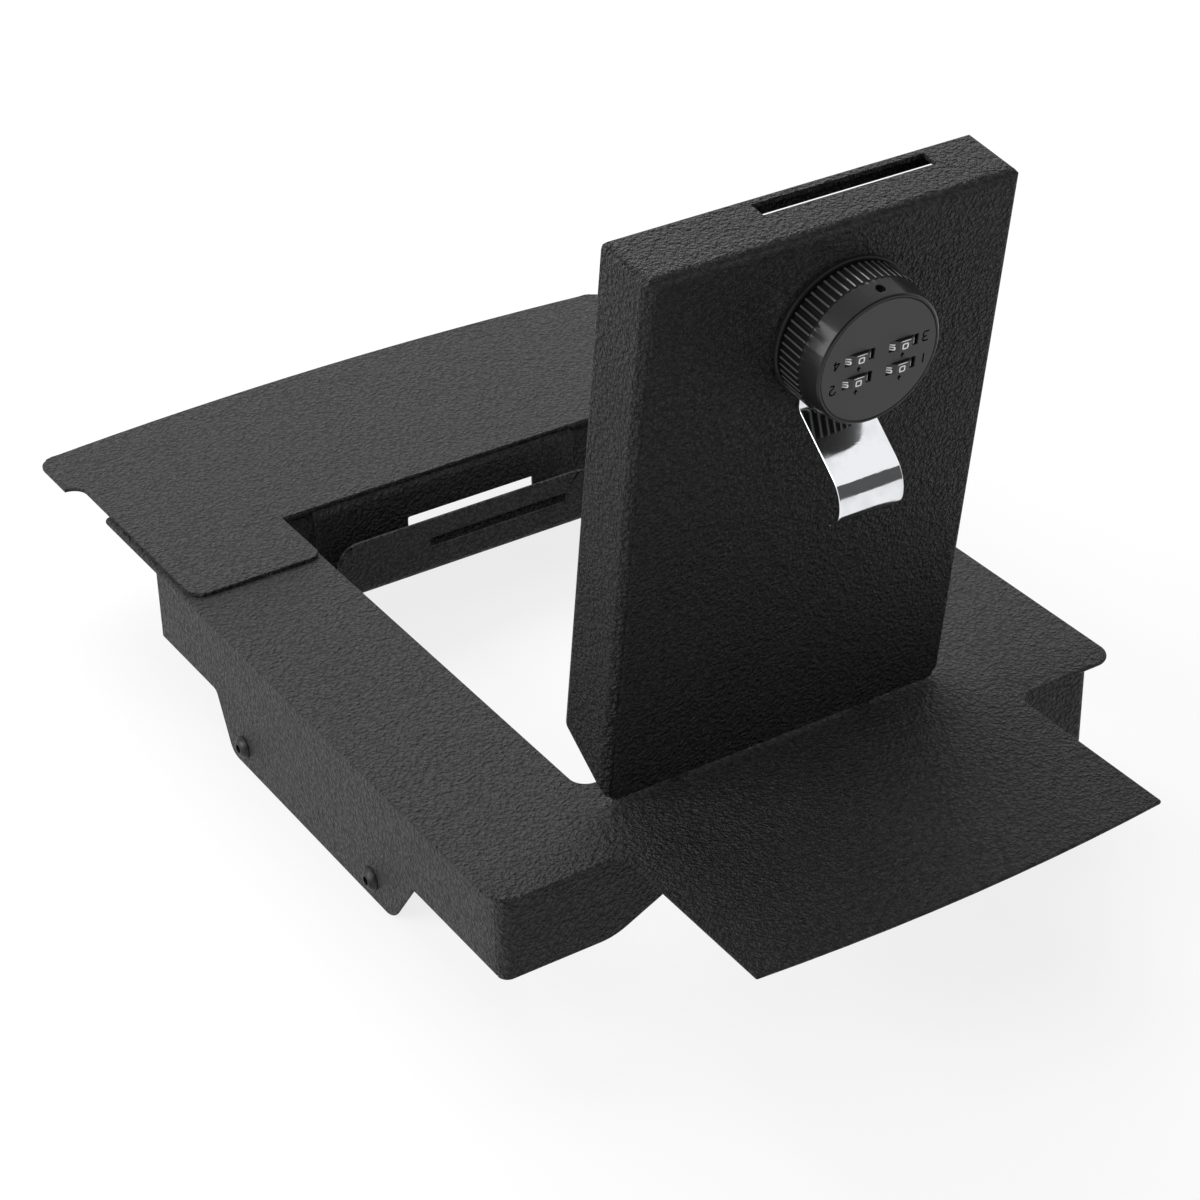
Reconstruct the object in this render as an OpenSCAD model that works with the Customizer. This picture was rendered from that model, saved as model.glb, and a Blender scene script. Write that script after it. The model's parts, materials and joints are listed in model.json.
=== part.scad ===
// Console safe: a folded steel frame, a pan lid that drops flush into it, and a fluted
// combination knob that swings a latch cam through three slots.
// Lengths are millimetres and +Z is up. Every piece is drawn with the lid closed, where
// x = 0 is the middle of the lid, y = 0 the hinge-side edge of the aperture and z = 0 the
// top face of the plate; lid_frame() then stands the lid open, the way it rests, and
// place() sets the whole assembly on its two side tabs, centred over the floor.

/* [Sheet] */
// thickness of every folded sheet
sheet = 2.0; // [1.6:0.1:3]
// inside radius of every fold
fold_in = 2.5; // [1:0.25:4]

/* [Top plate] */
// left edge of the plate from the middle of the lid
plate_left = 162; // [150:1:200]
// right edge of the plate from the middle of the lid
plate_right = 163; // [150:1:200]
// front edge of the plate in front of the aperture
plate_front = 50; // [45:1:80]
// back edge of the plate behind the hinge-side edge of the aperture
plate_back = 319; // [290:1:360]
// rounding of the front left corner
plate_corner_left = 12; // [4:1:20]
// rounding of the front right corner
plate_corner_right = 10; // [4:1:20]
// rounding of the back corners
plate_corner_back = 4; // [2:1:12]
// gap between the closed lid and each long side of the aperture
lid_side_gap = 1.2; // [0.6:0.1:3]
// gap between the closed lid and the hinge-side edge of the aperture
lid_hinge_gap = 1; // [0.6:0.1:3]
// back edge of the aperture beside the latch channel
aperture_back = 268; // [240:1:300]
// rounding of the two front corners of the aperture
aperture_corner = 8; // [3:0.5:14]
// left edge of the apron
apron_left = 101; // [60:1:140]
// right edge of the apron
apron_right = 106.4; // [60:0.1:140]
// front edge of the apron at its two corners
apron_reach = 144.5; // [80:0.5:200]
// how far the front edge of the apron bows out between its corners
apron_bow = 4.7; // [1:0.1:12]
// rounding where the apron leaves the plate
apron_fillet = 8; // [3:0.5:14]

/* [Skirts] */
// outer face of the left skirt from the middle of the lid
skirt_left = 159; // [140:1:180]
// outer face of the right skirt from the middle of the lid
skirt_right = 149; // [135:1:180]
// outer face of the front skirt in front of the aperture
skirt_front = 48.5; // [42:0.5:60]
// back end of the side skirts
skirt_back = 268; // [240:1:300]
// lower edge of the skirts below the plate's top face
skirt_drop = 42; // [36:1:60]
// outside radius of the two front corners
skirt_corner = 5; // [4:0.5:12]
// where the arch of the front skirt starts, from its middle
arch_foot = 104.8; // [80:0.2:130]
// where the arch reaches its crown, from its middle
arch_crown = 46.8; // [20:0.2:80]
// depth of skirt left over the arch, below the plate's top face
arch_top = 14; // [8:1:30]
// rounding at the two feet of the arch
arch_round = 30; // [10:1:50]
// rounding at the two ends of the crown
crown_round = 18; // [6:1:30]
// foot of the side tabs below the plate's top face
tab_drop = 70.5; // [60:0.5:100]
// front root of each side tab
tab_front_root = 26; // [10:0.5:40]
// front end of the foot of each side tab
tab_front_foot = 46.4; // [42:0.2:55]
// back end of the foot of each side tab
tab_back_foot = 198.4; // [190:0.2:205]
// back root of each side tab
tab_back_root = 211.3; // [206:0.1:230]
// rounding of the front end of the foot
tab_front_round = 12; // [4:1:16]
// rounding of the back end of the foot
tab_back_round = 8; // [4:1:16]
// rounding at the two roots
tab_root_round = 4; // [2:0.5:10]

/* [Side screws] */
// front pair of side screws behind the hinge-side edge of the aperture
screw_front_y = 63.5; // [56:0.5:80]
// back pair of side screws behind the hinge-side edge of the aperture
screw_back_y = 185; // [170:0.5:190]
// axis of the side screws below the plate's top face
screw_drop = 59; // [52:0.5:64]
// shank radius of the side screws
screw_r = 3; // [2.5:0.5:4]
// shank length of the side screws
screw_length = 16; // [12:1:25]
// head radius of the side screws
screw_head_r = 5.5; // [4.5:0.5:8]
// head height of the side screws
screw_head = 3.3; // [2:0.1:5]
// width over flats of the socket in each head
socket_flats = 4; // [2.5:0.5:5]
// depth of the socket in each head
socket_depth = 2; // [1:0.1:2.4]
// width over flats of the nuts behind the tabs
nut_flats = 10; // [8:0.5:14]
// height of those nuts
nut_height = 5; // [3:0.5:7]

/* [Rear cover] */
// half width of the cover over the side skirts
cover_half = 159; // [145:1:175]
// half width of the cover across its two ears
cover_ear_half = 167; // [150:1:185]
// front end of the two arms
cover_front = 226; // [190:1:250]
// inner edge of the two arms from the middle of the lid
cover_inner = 91; // [90.2:0.1:110]
// edge of the cover over the latch channel
cover_edge = 267; // [262:1:290]
// where the two ears step out
cover_step = 352; // [330:1:370]
// back edge of the cover at its middle
cover_back = 394; // [370:1:430]
// how far the back edge falls away towards its two ends
cover_bow = 9; // [3:0.5:20]
// rounding of the outer corner of each arm
arm_round_out = 8; // [3:0.5:14]
// rounding of the inner corner of each arm
arm_round_in = 6; // [3:0.5:14]
// rounding of the ears
ear_round = 8; // [3:0.5:14]

/* [Latch channel] */
// half width of the channel
channel_half = 74.5; // [60:0.5:80]
// front face of the flange the cam hooks behind
flange_face = 265; // [264.5:0.1:275]
// front face of the lip that stands inside the closed lid
lip_face = 243.2; // [238:0.1:248]
// top of the lip below the plate's top face
lip_top = 10.7; // [6:0.1:16]
// rounding of the two top corners of the lip
lip_round = 12; // [4:1:16]
// underside of the channel below the plate's top face
channel_drop = 41; // [39:0.5:50]
// left end of the slots in the lip and the flange
slot_left = 23; // [20:0.5:30]
// right end of the slot in the lip
lip_slot_right = 56.6; // [54:0.1:62]
// right end of the slot in the flange
flange_slot_right = 50; // [40:0.5:60]
// clear height of the slot in the flange
flange_slot_height = 8; // [5:0.5:12]
// space the cam has above and below in the slot in the lip
cam_slot_gap = 0.6; // [0.4:0.1:1.5]

/* [Lid] */
// half width of the lid
lid_half = 89; // [80:0.5:100]
// length of the lid
lid_length = 260; // [240:1:280]
// depth of the pan
lid_depth = 35; // [30:0.5:45]
// width of the flanges turned in along the mouth of the pan
lid_return = 10; // [6:0.5:14]
// rounding of the two hinge-side corners of the lid's face
lid_corner = 8; // [3:0.5:14]
// where the side walls start, under the face
wall_start_top = 5.2; // [3:0.1:12]
// where the side walls start, at the mouth
wall_start_mouth = 22; // [12:0.5:40]
// rounding of the side walls at the mouth
wall_round = 8; // [3:0.5:14]
// right end of the slot in the end wall
end_slot_right = 60.1; // [56:0.1:66]
// clear height of the slot in the end wall
end_slot_height = 8.3; // [6:0.1:12]
// how far the lid stands open at rest, in degrees from closed
lid_open = 98.2; // [92:0.1:100]

/* [Hinge] */
// hinge axis in front of the aperture's edge
pivot_back = 8; // [7:0.1:9]
// hinge axis below the plate's top face
pivot_drop = 7.5; // [7:0.1:8]
// the two hinges from the middle of the lid
hinge_x = 49; // [30:1:70]
// thickness of the goose-neck arms
arm_thick = 5; // [3:0.5:6]
// radius of the eye of each arm
eye_r = 4.4; // [4:0.1:5]
// half height of the neck of each arm
neck_half = 4; // [3:0.1:4.2]
// front end of the foot welded inside the lid, from the lid's edge
arm_foot_start = 4; // [3:0.5:8]
// back end of that foot, from the lid's edge
arm_foot_end = 55; // [30:1:80]
// depth of that foot
arm_foot_depth = 10; // [6:0.5:14]
// rounding of that foot's free corner
arm_foot_round = 6; // [2:0.5:8]
// side play between an arm and the two ears of its bracket
arm_play = 1; // [0.5:0.1:2]
// thickness of the bracket's ears
ear_thick = 3; // [2:0.5:5]
// front face of the bracket, in front of the aperture's edge
bracket_back = 30; // [24:1:36]
// lower edge of the bracket below the plate's top face
bracket_drop = 14; // [12:0.5:20]
// how far the ears stop short of the aperture
bracket_inset = 1; // [0.5:0.1:2]
// rounding of the ears' lower corner
bracket_round = 4; // [2:0.5:5]
// length of the notches the arms swing through, from the aperture
notch_length = 14.5; // [14:0.1:18]
// radius of the hinge pins
pin_r = 2.5; // [2:0.1:3]
// radius of the hinge pins' heads
pin_head_r = 4; // [3.5:0.1:5]
// height of the hinge pins' heads
pin_head = 2; // [1:0.1:3]
// length of pin left past the bracket for the clip
pin_tail = 3; // [2:0.1:5]
// radius of the groove for the clip
groove_r = 2; // [1.5:0.1:2.2]
// outer radius of the clips
clip_r = 4.2; // [3.5:0.1:5]
// thickness of the clips
clip_thick = 0.8; // [0.5:0.1:1]

/* [Pull] */
// width of the pull
pull_width = 31.5; // [20:0.5:40]
// thickness of the pull's strip
pull_thick = 2; // [1.5:0.1:3]
// radius of the pull's round base under the collar
pull_base_r = 30; // [24:0.5:31]
// where the pull leaves the lid, from the hinge-side edge of the aperture
pull_root = 181.6; // [176:0.1:182]
// mid-line radius of its first bend
pull_bend_1 = 4; // [3:0.5:8]
// angle it stands off the lid
pull_slope = 57; // [40:1:75]
// mid-line radius of its second bend
pull_bend_2 = 5; // [3:0.5:8]
// height of its grip over the lid, on the mid-line
pull_height = 34; // [25:0.5:40]
// where the flat grip ends and the curl starts
pull_grip_end = 148.5; // [140:0.5:152]
// mid-line radius of the curl
pull_curl = 12; // [8:1:20]
// angle the curl turns back towards the lid
pull_curl_angle = 30; // [10:1:60]
// how far the free edge is hollowed between its corners
pull_hollow = 4; // [1:0.5:7]

/* [Lock fixed parts] */
// knob axis to the right of the middle of the lid
knob_x = 4; // [0:0.5:8]
// knob axis from the hinge-side edge of the aperture
knob_y = 214.2; // [205:0.1:220]
// radius of the collar under the knob
collar_r = 32.5; // [31.8:0.1:36]
// height of the collar
collar_height = 2.2; // [1.5:0.1:4]
// bevel on the collar's rim
collar_bevel = 0.6; // [0.2:0.1:1]
// outer radius of the barrel through the lid
barrel_r = 11; // [10:0.5:14]
// radius of the barrel's flange
barrel_flange_r = 14; // [13:0.5:18]
// thickness of the barrel's flange
barrel_flange = 1.2; // [0.8:0.1:1.6]
// end of the barrel below the lid's face
barrel_drop = 16; // [12:0.5:20]
// radius of the washer inside the lid
lock_washer_r = 18; // [14:0.5:22]
// thickness of the washer inside the lid
lock_washer_thick = 1.5; // [1:0.1:2.5]
// width over flats of the nut inside the lid
lock_nut_flats = 30; // [26:1:34]
// height of the nut inside the lid
lock_nut_height = 5; // [3:0.5:7]

/* [Knob] */
// gap between the knob and the collar
knob_gap = 0.3; // [0.3:0.1:1]
// radius over the flutes
knob_r = 31.5; // [28:0.5:34]
// radius of the knob at its face
knob_face_r = 29; // [28:0.5:31]
// height of the knob's face over the lid
knob_top = 27; // [25:0.1:30]
// top of the flutes over the lid
flute_top = 17; // [12:0.5:20]
// radius of the smooth band over the flutes, where it starts
knob_band_r = 30.8; // [29:0.1:31.4]
// height of the plain rim under the flutes
knob_rim = 0.8; // [0.4:0.1:2]
// number of flutes round the knob
flute_count = 60; // [40:1:80]
// radius of the tool that leaves a flute
flute_r = 1.4; // [0.8:0.1:1.6]
// depth of a flute
flute_depth = 0.9; // [0.3:0.1:1]
// thickness of the knob's floor
knob_floor = 3.5; // [2.5:0.1:5]
// radius of the knob's hollow
hollow_r = 26.2; // [26:0.1:27]
// radius of the face plate
face_r = 27.4; // [27:0.1:28]
// thickness of the face plate
face_thick = 1; // [0.8:0.1:1]
// length of a window across its wheel
window_length = 14; // [13.9:0.1:15]
// width of a window along its wheel's axle
window_width = 5; // [5:0.1:7]
// radius of the set screw in the knob's band
set_screw_r = 2; // [1:0.1:2.5]
// height of the set screw over the lid
set_screw_height = 22; // [20:0.5:23]
// how far the set screw lies below the band's surface
set_screw_sink = 1.5; // [0.4:0.1:2]

/* [Digit wheels] */
// middle of the four wheels to the right of the knob's axis
wheel_mid_x = 0.8; // [0:0.1:1]
// middle of the four wheels towards the hinge from the knob's axis
wheel_mid_y = 1.1; // [0:0.1:1.2]
// half the distance between the two axles
wheel_x = 10.5; // [10.2:0.1:11]
// half the distance between the two wheels on one axle
wheel_y = 5.35; // [5:0.05:5.6]
// distance from a wheel's axle to its ten faces
wheel_apothem = 9.1; // [8.5:0.1:9.2]
// thickness of a wheel
wheel_thick = 4.4; // [3.6:0.1:4.4]
// radius of the axles
axle_r = 1.5; // [1:0.1:2]
// how far a wheel's face stands out of its window
wheel_proud = 1.2; // [0.6:0.1:1.2]
// half length of the cradle along the axles
cradle_half = 10.5; // [10:0.1:10.8]
// half length of the cradle across the axles
cradle_side = 22.1; // [21.8:0.1:22.4]
// space between a wheel's sides and the cradle's walls
cradle_gap = 0.8; // [0.4:0.1:1]
// thickness of the cradle's end bars
cradle_bar = 1.5; // [1:0.1:1.5]

/* [Spindle and cam] */
// radius of the spindle
spindle_r = 8; // [6:0.5:9]
// radius of the spindle's spigot in the knob's floor
spigot_r = 5; // [3:0.5:7]
// top of the cam below the lid's face
cam_drop = 22; // [20:0.1:24]
// thickness of the cam
cam_thick = 4; // [2:0.1:4.5]
// width of the cam
cam_width = 26; // [20:0.5:28]
// reach of the cam from the knob's axis
cam_reach = 57; // [56:0.5:60]
// rounding of the cam's two free corners
cam_round = 3; // [1:0.5:6]
// width of the square the cam sits on
cam_square = 10; // [8:0.5:11]
// radius of the washer under the cam
cam_washer_r = 9; // [7:0.5:12]
// thickness of the washer under the cam
cam_washer_thick = 1.2; // [0.8:0.1:2]
// shank radius of the bolt under the cam
cam_bolt_r = 3; // [2:0.5:3.5]
// shank length of the bolt under the cam
cam_bolt_length = 15; // [10:1:20]
// head radius of the bolt under the cam
cam_bolt_head_r = 5.5; // [4.5:0.5:7]
// head height of the bolt under the cam
cam_bolt_head = 3.3; // [2:0.1:5]

/* [Fits] */
// running clearance round every pin and spindle
running = 0.05; // [0.02:0.01:0.1]
// radial clearance of a screw through sheet
screw_gap = 0.3; // [0.1:0.1:1]

/* [Hidden] */
$fn = 96;
over = 0.5;
quarter = 90;
hex = 6;
ten = 10;
aperture_half = lid_half + lid_side_gap;
fold_out = fold_in + sheet;
lid_y0 = lid_hinge_gap;
lid_y1 = lid_hinge_gap + lid_length;
pivot = [0, -pivot_back, -pivot_drop];
apron_mid = (apron_right - apron_left) / 2;
apron_half = (apron_right + apron_left) / 2;
apron_arc = (apron_half * apron_half + apron_bow * apron_bow) / (2 * apron_bow);
apron_front = apron_reach + apron_bow;
cover_arc = (cover_ear_half * cover_ear_half + cover_bow * cover_bow) / (2 * cover_bow);
mid_y = (cover_back - apron_front) / 2;
cam_mid = -cam_drop - cam_thick / 2;
notch_half = arm_thick / 2 + arm_play;
bracket_half = notch_half + ear_thick;
collar_top = pull_thick + collar_height;
knob_base = collar_top + knob_gap;
floor_top = knob_base + knob_floor;
face_under = knob_top - face_thick;
wheel_r = wheel_apothem / cos(quarter / (ten / 2));
wheel_z = knob_top + wheel_proud - wheel_apothem;
nut_r = nut_flats / 2 / cos(quarter / (hex / 2));
socket_r = socket_flats / 2 / cos(quarter / (hex / 2));
lock_nut_r = lock_nut_flats / 2 / cos(quarter / (hex / 2));
pull_hollow_r = (pull_width * pull_width / 4 + pull_hollow * pull_hollow) / (2 * pull_hollow);

// ---- placing ----

// stands the assembly on its tabs, centred over the floor
module place() {
    translate([0, -mid_y, tab_drop])
        children();
}

// swings a piece drawn with the lid closed to where it rests with the lid open
module lid_frame() {
    place()
        translate(pivot)
            rotate([lid_open, 0, 0])
                translate(-pivot)
                    children();
}

// the same, measured from the knob's axis at the lid's outer face
module knob_frame() {
    lid_frame()
        translate([knob_x, knob_y, 0])
            children();
}

// the same, measured from the middle of the four number wheels
module wheel_frame() {
    knob_frame()
        translate([wheel_mid_x, -wheel_mid_y, 0])
            children();
}

// ---- flat shapes ----

// a rectangle between two corners
module slab(x0, x1, y0, y1) {
    translate([x0, y0])
        square([x1 - x0, y1 - y0]);
}

// what rounding a square corner takes away or fills in; sx and sy point at the arc
module nick(x, y, sx, sy, r) {
    difference() {
        translate([x - (sx < 0 ? r : over), y - (sy < 0 ? r : over)])
            square(r + over);
        translate([x + sx * r, y + sy * r])
            circle(r = r);
    }
}

function unit(v) = v / norm(v);
function half_between(a, b) = acos(unit(a) * unit(b)) / 2;
// how far a rounding of radius r reaches along both edges of a corner
function round_reach(a, b, r) = r / tan(half_between(a, b));
// the centre of that rounding; the two edges leave the corner along a and b
function round_centre(apex, a, b, r) =
    apex + unit(unit(a) + unit(b)) * (r / sin(half_between(a, b)));

// what rounding such a corner takes away or fills in
module sliver(apex, a, b, r) {
    reach = round_reach(a, b, r);
    mid = unit(unit(a) + unit(b));
    difference() {
        polygon([apex - mid * over, apex + unit(a) * reach, apex + unit(b) * reach]);
        translate(round_centre(apex, a, b, r))
            circle(r = r);
    }
}

// a bent piece of strip, from angle a0 to angle a1 round a centre
module bend(c, r_in, r_out, a0, a1) {
    far = 2 * r_out;
    half = (a1 - a0) / 2;
    translate(c)
        intersection() {
            difference() {
                circle(r = r_out);
                circle(r = r_in);
            }
            polygon([[0, 0], far * [cos(a0), sin(a0)],
                far / cos(half) * [cos(a0 + half), sin(a0 + half)],
                far * [cos(a1), sin(a1)]]);
        }
}

// ---- runs: a flat shape drawn out along one axis ----

// (y, z) shapes along x
module run_x(x0, x1) {
    translate([x0, 0, 0])
        rotate([quarter, 0, quarter])
            linear_extrude(height = x1 - x0)
                children();
}

// (x, z) shapes along y
module run_y(y0, y1) {
    translate([0, y1, 0])
        rotate([quarter, 0, 0])
            linear_extrude(height = y1 - y0)
                children();
}

// (x, y) shapes along z
module run_z(z0, z1) {
    translate([0, 0, z0])
        linear_extrude(height = z1 - z0)
            children();
}

// a round bar along x
module bar_x(x0, x1, y, z, r) {
    translate([x0, y, z])
        rotate([0, quarter, 0])
            cylinder(r = r, h = x1 - x0);
}

// a round bar along y
module bar_y(x, y0, y1, z, r) {
    translate([x, y1, z])
        rotate([quarter, 0, 0])
            cylinder(r = r, h = y1 - y0);
}

// a flat ring
module ring(z0, z1, r_out, r_in) {
    translate([0, 0, z0])
        difference() {
            cylinder(r = r_out, h = z1 - z0);
            translate([0, 0, -over])
                cylinder(r = r_in, h = z1 - z0 + 2 * over);
        }
}

// ---- frame ----

// outline of the plate with its apron
module plate_outline() {
    difference() {
        slab(-plate_left, plate_right, -plate_front, plate_back);
        nick(-plate_left, -plate_front, 1, 1, plate_corner_left);
        nick(plate_right, -plate_front, -1, 1, plate_corner_right);
        nick(-plate_left, plate_back, 1, -1, plate_corner_back);
        nick(plate_right, plate_back, -1, -1, plate_corner_back);
    }
    intersection() {
        slab(-apron_left, apron_right, -apron_front - over, -plate_front + over);
        translate([apron_mid, apron_arc - apron_front])
            circle(r = apron_arc, $fn = 720);
    }
    nick(-apron_left, -plate_front, -1, -1, apron_fillet);
    nick(apron_right, -plate_front, 1, -1, apron_fillet);
}

// the aperture, the gap the channel folds down through and the two arm notches
module plate_holes() {
    difference() {
        slab(-aperture_half, aperture_half, 0, aperture_back);
        nick(-aperture_half, 0, 1, 1, aperture_corner);
        nick(aperture_half, 0, -1, 1, aperture_corner);
    }
    slab(-channel_half, channel_half, aperture_back - over, flange_face + fold_out);
    for (x = [-hinge_x, hinge_x])
        slab(x - notch_half, x + notch_half, -notch_length, over);
}

module top_plate() {
    color("dimgray")
        place()
            run_z(-sheet, 0)
                difference() {
                    plate_outline();
                    plate_holes();
                }
}

// side view of a side skirt with its tab
module side_outline() {
    front = -skirt_front + skirt_corner;
    front_root = [tab_front_root, -skirt_drop];
    back_root = [tab_back_root, -skirt_drop];
    front_slope = [tab_front_foot - tab_front_root, skirt_drop - tab_drop];
    back_slope = [tab_back_foot - tab_back_root, skirt_drop - tab_drop];
    front_reach = round_reach([-1, 0], front_slope, tab_root_round);
    back_reach = round_reach([1, 0], back_slope, tab_root_round);
    difference() {
        polygon([[front, -sheet], [skirt_back, -sheet], [skirt_back, -skirt_drop],
            back_root + [back_reach, 0], back_root + unit(back_slope) * back_reach,
            [tab_back_foot, -tab_drop], [tab_front_foot, -tab_drop],
            front_root + unit(front_slope) * front_reach, front_root - [front_reach, 0],
            [front, -skirt_drop]]);
        translate(round_centre(front_root, [-1, 0], front_slope, tab_root_round))
            circle(r = tab_root_round);
        translate(round_centre(back_root, [1, 0], back_slope, tab_root_round))
            circle(r = tab_root_round);
        sliver([tab_front_foot, -tab_drop], [1, 0], -front_slope, tab_front_round);
        sliver([tab_back_foot, -tab_drop], [-1, 0], -back_slope, tab_back_round);
        for (y = [screw_front_y, screw_back_y])
            translate([y, -screw_drop])
                circle(r = screw_r + screw_gap);
    }
}

module left_skirt() {
    color("dimgray")
        place()
            run_x(-skirt_left, -skirt_left + sheet)
                side_outline();
}

module right_skirt() {
    color("dimgray")
        place()
            run_x(skirt_right - sheet, skirt_right)
                side_outline();
}

// front view of the arch cut out of the front skirt
module arch() {
    rise = [arch_foot - arch_crown, skirt_drop - arch_top];
    difference() {
        polygon([[-arch_foot, -skirt_drop], [-arch_crown, -arch_top],
            [arch_crown, -arch_top], [arch_foot, -skirt_drop],
            [arch_foot, -skirt_drop - over], [-arch_foot, -skirt_drop - over]]);
        sliver([-arch_crown, -arch_top], [1, 0], -rise, crown_round);
        sliver([arch_crown, -arch_top], [-1, 0], [rise[0], -rise[1]], crown_round);
    }
    sliver([-arch_foot, -skirt_drop], [-1, 0], rise, arch_round);
    sliver([arch_foot, -skirt_drop], [1, 0], [-rise[0], rise[1]], arch_round);
}

module front_skirt() {
    back = -skirt_front + skirt_corner;
    in_r = skirt_corner - sheet;
    color("dimgray")
        place()
            difference() {
                run_z(-skirt_drop, -sheet)
                    difference() {
                        slab(-skirt_left, skirt_right, -skirt_front, back);
                        nick(-skirt_left, -skirt_front, 1, 1, skirt_corner);
                        nick(skirt_right, -skirt_front, -1, 1, skirt_corner);
                        difference() {
                            slab(-skirt_left + sheet, skirt_right - sheet,
                                -skirt_front + sheet, back + over);
                            nick(-skirt_left + sheet, -skirt_front + sheet, 1, 1, in_r);
                            nick(skirt_right - sheet, -skirt_front + sheet, -1, 1, in_r);
                        }
                    }
                run_y(-skirt_front - over, -skirt_front + sheet + over)
                    arch();
            }
}

module rear_cover() {
    color("dimgray")
        place()
            run_z(0, sheet)
                difference() {
                    intersection() {
                        union() {
                            slab(-cover_half, cover_half, cover_front, cover_back + over);
                            slab(-cover_ear_half, cover_ear_half, cover_step, cover_back + over);
                            nick(-cover_half, cover_step, -1, -1, ear_round);
                            nick(cover_half, cover_step, 1, -1, ear_round);
                        }
                        translate([0, cover_back - cover_arc])
                            circle(r = cover_arc, $fn = 720);
                    }
                    slab(-cover_inner, cover_inner, cover_front - over, cover_edge);
                    nick(-cover_half, cover_front, 1, 1, arm_round_out);
                    nick(cover_half, cover_front, -1, 1, arm_round_out);
                    nick(-cover_inner, cover_front, -1, 1, arm_round_in);
                    nick(cover_inner, cover_front, 1, 1, arm_round_in);
                    nick(-cover_ear_half, cover_back - cover_bow, 1, -1, ear_round);
                    nick(cover_ear_half, cover_back - cover_bow, -1, -1, ear_round);
                }
}

// side view of the channel, folded down from the plate, back and up again
module channel_profile() {
    top_z = -fold_out;
    low_z = -channel_drop + fold_out;
    bend([flange_face + fold_out, top_z], fold_in, fold_out, quarter, 2 * quarter);
    slab(flange_face, flange_face + sheet, low_z, top_z);
    bend([flange_face + sheet - fold_out, low_z], fold_in, fold_out, -quarter, 0);
    slab(lip_face + fold_out, flange_face + sheet - fold_out,
        -channel_drop, -channel_drop + sheet);
    bend([lip_face + fold_out, low_z], fold_in, fold_out, -2 * quarter, -quarter);
    slab(lip_face, lip_face + sheet, low_z, -lip_top);
}

module latch_channel() {
    lip_back = lip_face + sheet;
    color("silver")
        place()
            difference() {
                run_x(-channel_half, channel_half)
                    channel_profile();
                run_y(lip_face - over, lip_back + over) {
                    slab(-slot_left, lip_slot_right, cam_mid - cam_thick / 2 - cam_slot_gap,
                        cam_mid + cam_thick / 2 + cam_slot_gap);
                    nick(-channel_half, -lip_top, 1, -1, lip_round);
                    nick(channel_half, -lip_top, -1, -1, lip_round);
                }
                run_y(flange_face - over, flange_face + sheet + over)
                    slab(-slot_left, flange_slot_right, cam_mid - flange_slot_height / 2,
                        cam_mid + flange_slot_height / 2);
            }
}

// a U bracket under the plate, open towards the aperture
module hinge_bracket(x) {
    place()
        difference() {
            run_x(x - bracket_half, x + bracket_half)
                difference() {
                    slab(-bracket_back, -bracket_inset, -bracket_drop, -sheet);
                    nick(-bracket_inset, -bracket_drop, -1, 1, bracket_round);
                }
            run_z(-bracket_drop - over, 0)
                slab(x - notch_half, x + notch_half, -bracket_back + ear_thick, over);
            bar_x(x - bracket_half - over, x + bracket_half + over,
                pivot[1], pivot[2], pin_r + running);
        }
}

module hinge_bracket_left() {
    color("gray")
        hinge_bracket(-hinge_x);
}

module hinge_bracket_right() {
    color("gray")
        hinge_bracket(hinge_x);
}

// a headed pin with a groove for its clip; side is -1 or 1, towards the head
module hinge_pin(x, side) {
    place()
        translate([x, pivot[1], pivot[2]])
            rotate([0, side * quarter, 0])
                difference() {
                    union() {
                        translate([0, 0, -bracket_half - pin_tail])
                            cylinder(r = pin_r, h = 2 * bracket_half + pin_tail + over);
                        translate([0, 0, bracket_half])
                            cylinder(r = pin_head_r, h = pin_head);
                    }
                    ring(-bracket_half - clip_thick - running, -bracket_half,
                        pin_r + over, groove_r);
                }
}

module hinge_pin_left() {
    color("silver")
        hinge_pin(-hinge_x, -1);
}

module hinge_pin_right() {
    color("silver")
        hinge_pin(hinge_x, 1);
}

// a clip that snaps into the pin's groove from below
module hinge_pin_clip(x, side) {
    place()
        translate([x, pivot[1], pivot[2]])
            rotate([0, side * quarter, 0])
                difference() {
                    ring(-bracket_half - clip_thick, -bracket_half, clip_r, groove_r + running);
                    run_z(-bracket_half - clip_thick - over, -bracket_half + over)
                        slab(0, clip_r + over, -groove_r, groove_r);
                }
}

module hinge_pin_clips() {
    color("dimgray") {
        hinge_pin_clip(-hinge_x, -1);
        hinge_pin_clip(hinge_x, 1);
    }
}

// a socket screw whose head bears on a tab's outer face; side is -1 left, 1 right
module side_screw(face_x, y, side) {
    place()
        translate([face_x, y, -screw_drop])
            rotate([0, side * quarter, 0])
                difference() {
                    union() {
                        cylinder(r = screw_head_r, h = screw_head);
                        translate([0, 0, -screw_length])
                            cylinder(r = screw_r, h = screw_length + over);
                    }
                    translate([0, 0, screw_head - socket_depth])
                        cylinder(r = socket_r, h = socket_depth + over, $fn = hex);
                }
}

module side_screws() {
    color("gainsboro")
        for (y = [screw_front_y, screw_back_y]) {
            side_screw(-skirt_left, y, -1);
            side_screw(skirt_right, y, 1);
        }
}

// a nut on a tab's inner face
module side_nut(face_x, y, side) {
    place()
        translate([face_x, y, -screw_drop])
            rotate([0, side * quarter, 0])
                difference() {
                    translate([0, 0, -sheet - nut_height])
                        cylinder(r = nut_r, h = nut_height, $fn = hex);
                    translate([0, 0, -sheet - nut_height - over])
                        cylinder(r = screw_r + running, h = nut_height + 2 * over);
                }
}

module side_nuts() {
    color("gainsboro")
        for (y = [screw_front_y, screw_back_y]) {
            side_nut(-skirt_left, y, -1);
            side_nut(skirt_right, y, 1);
        }
}

// ---- lid ----

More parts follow.
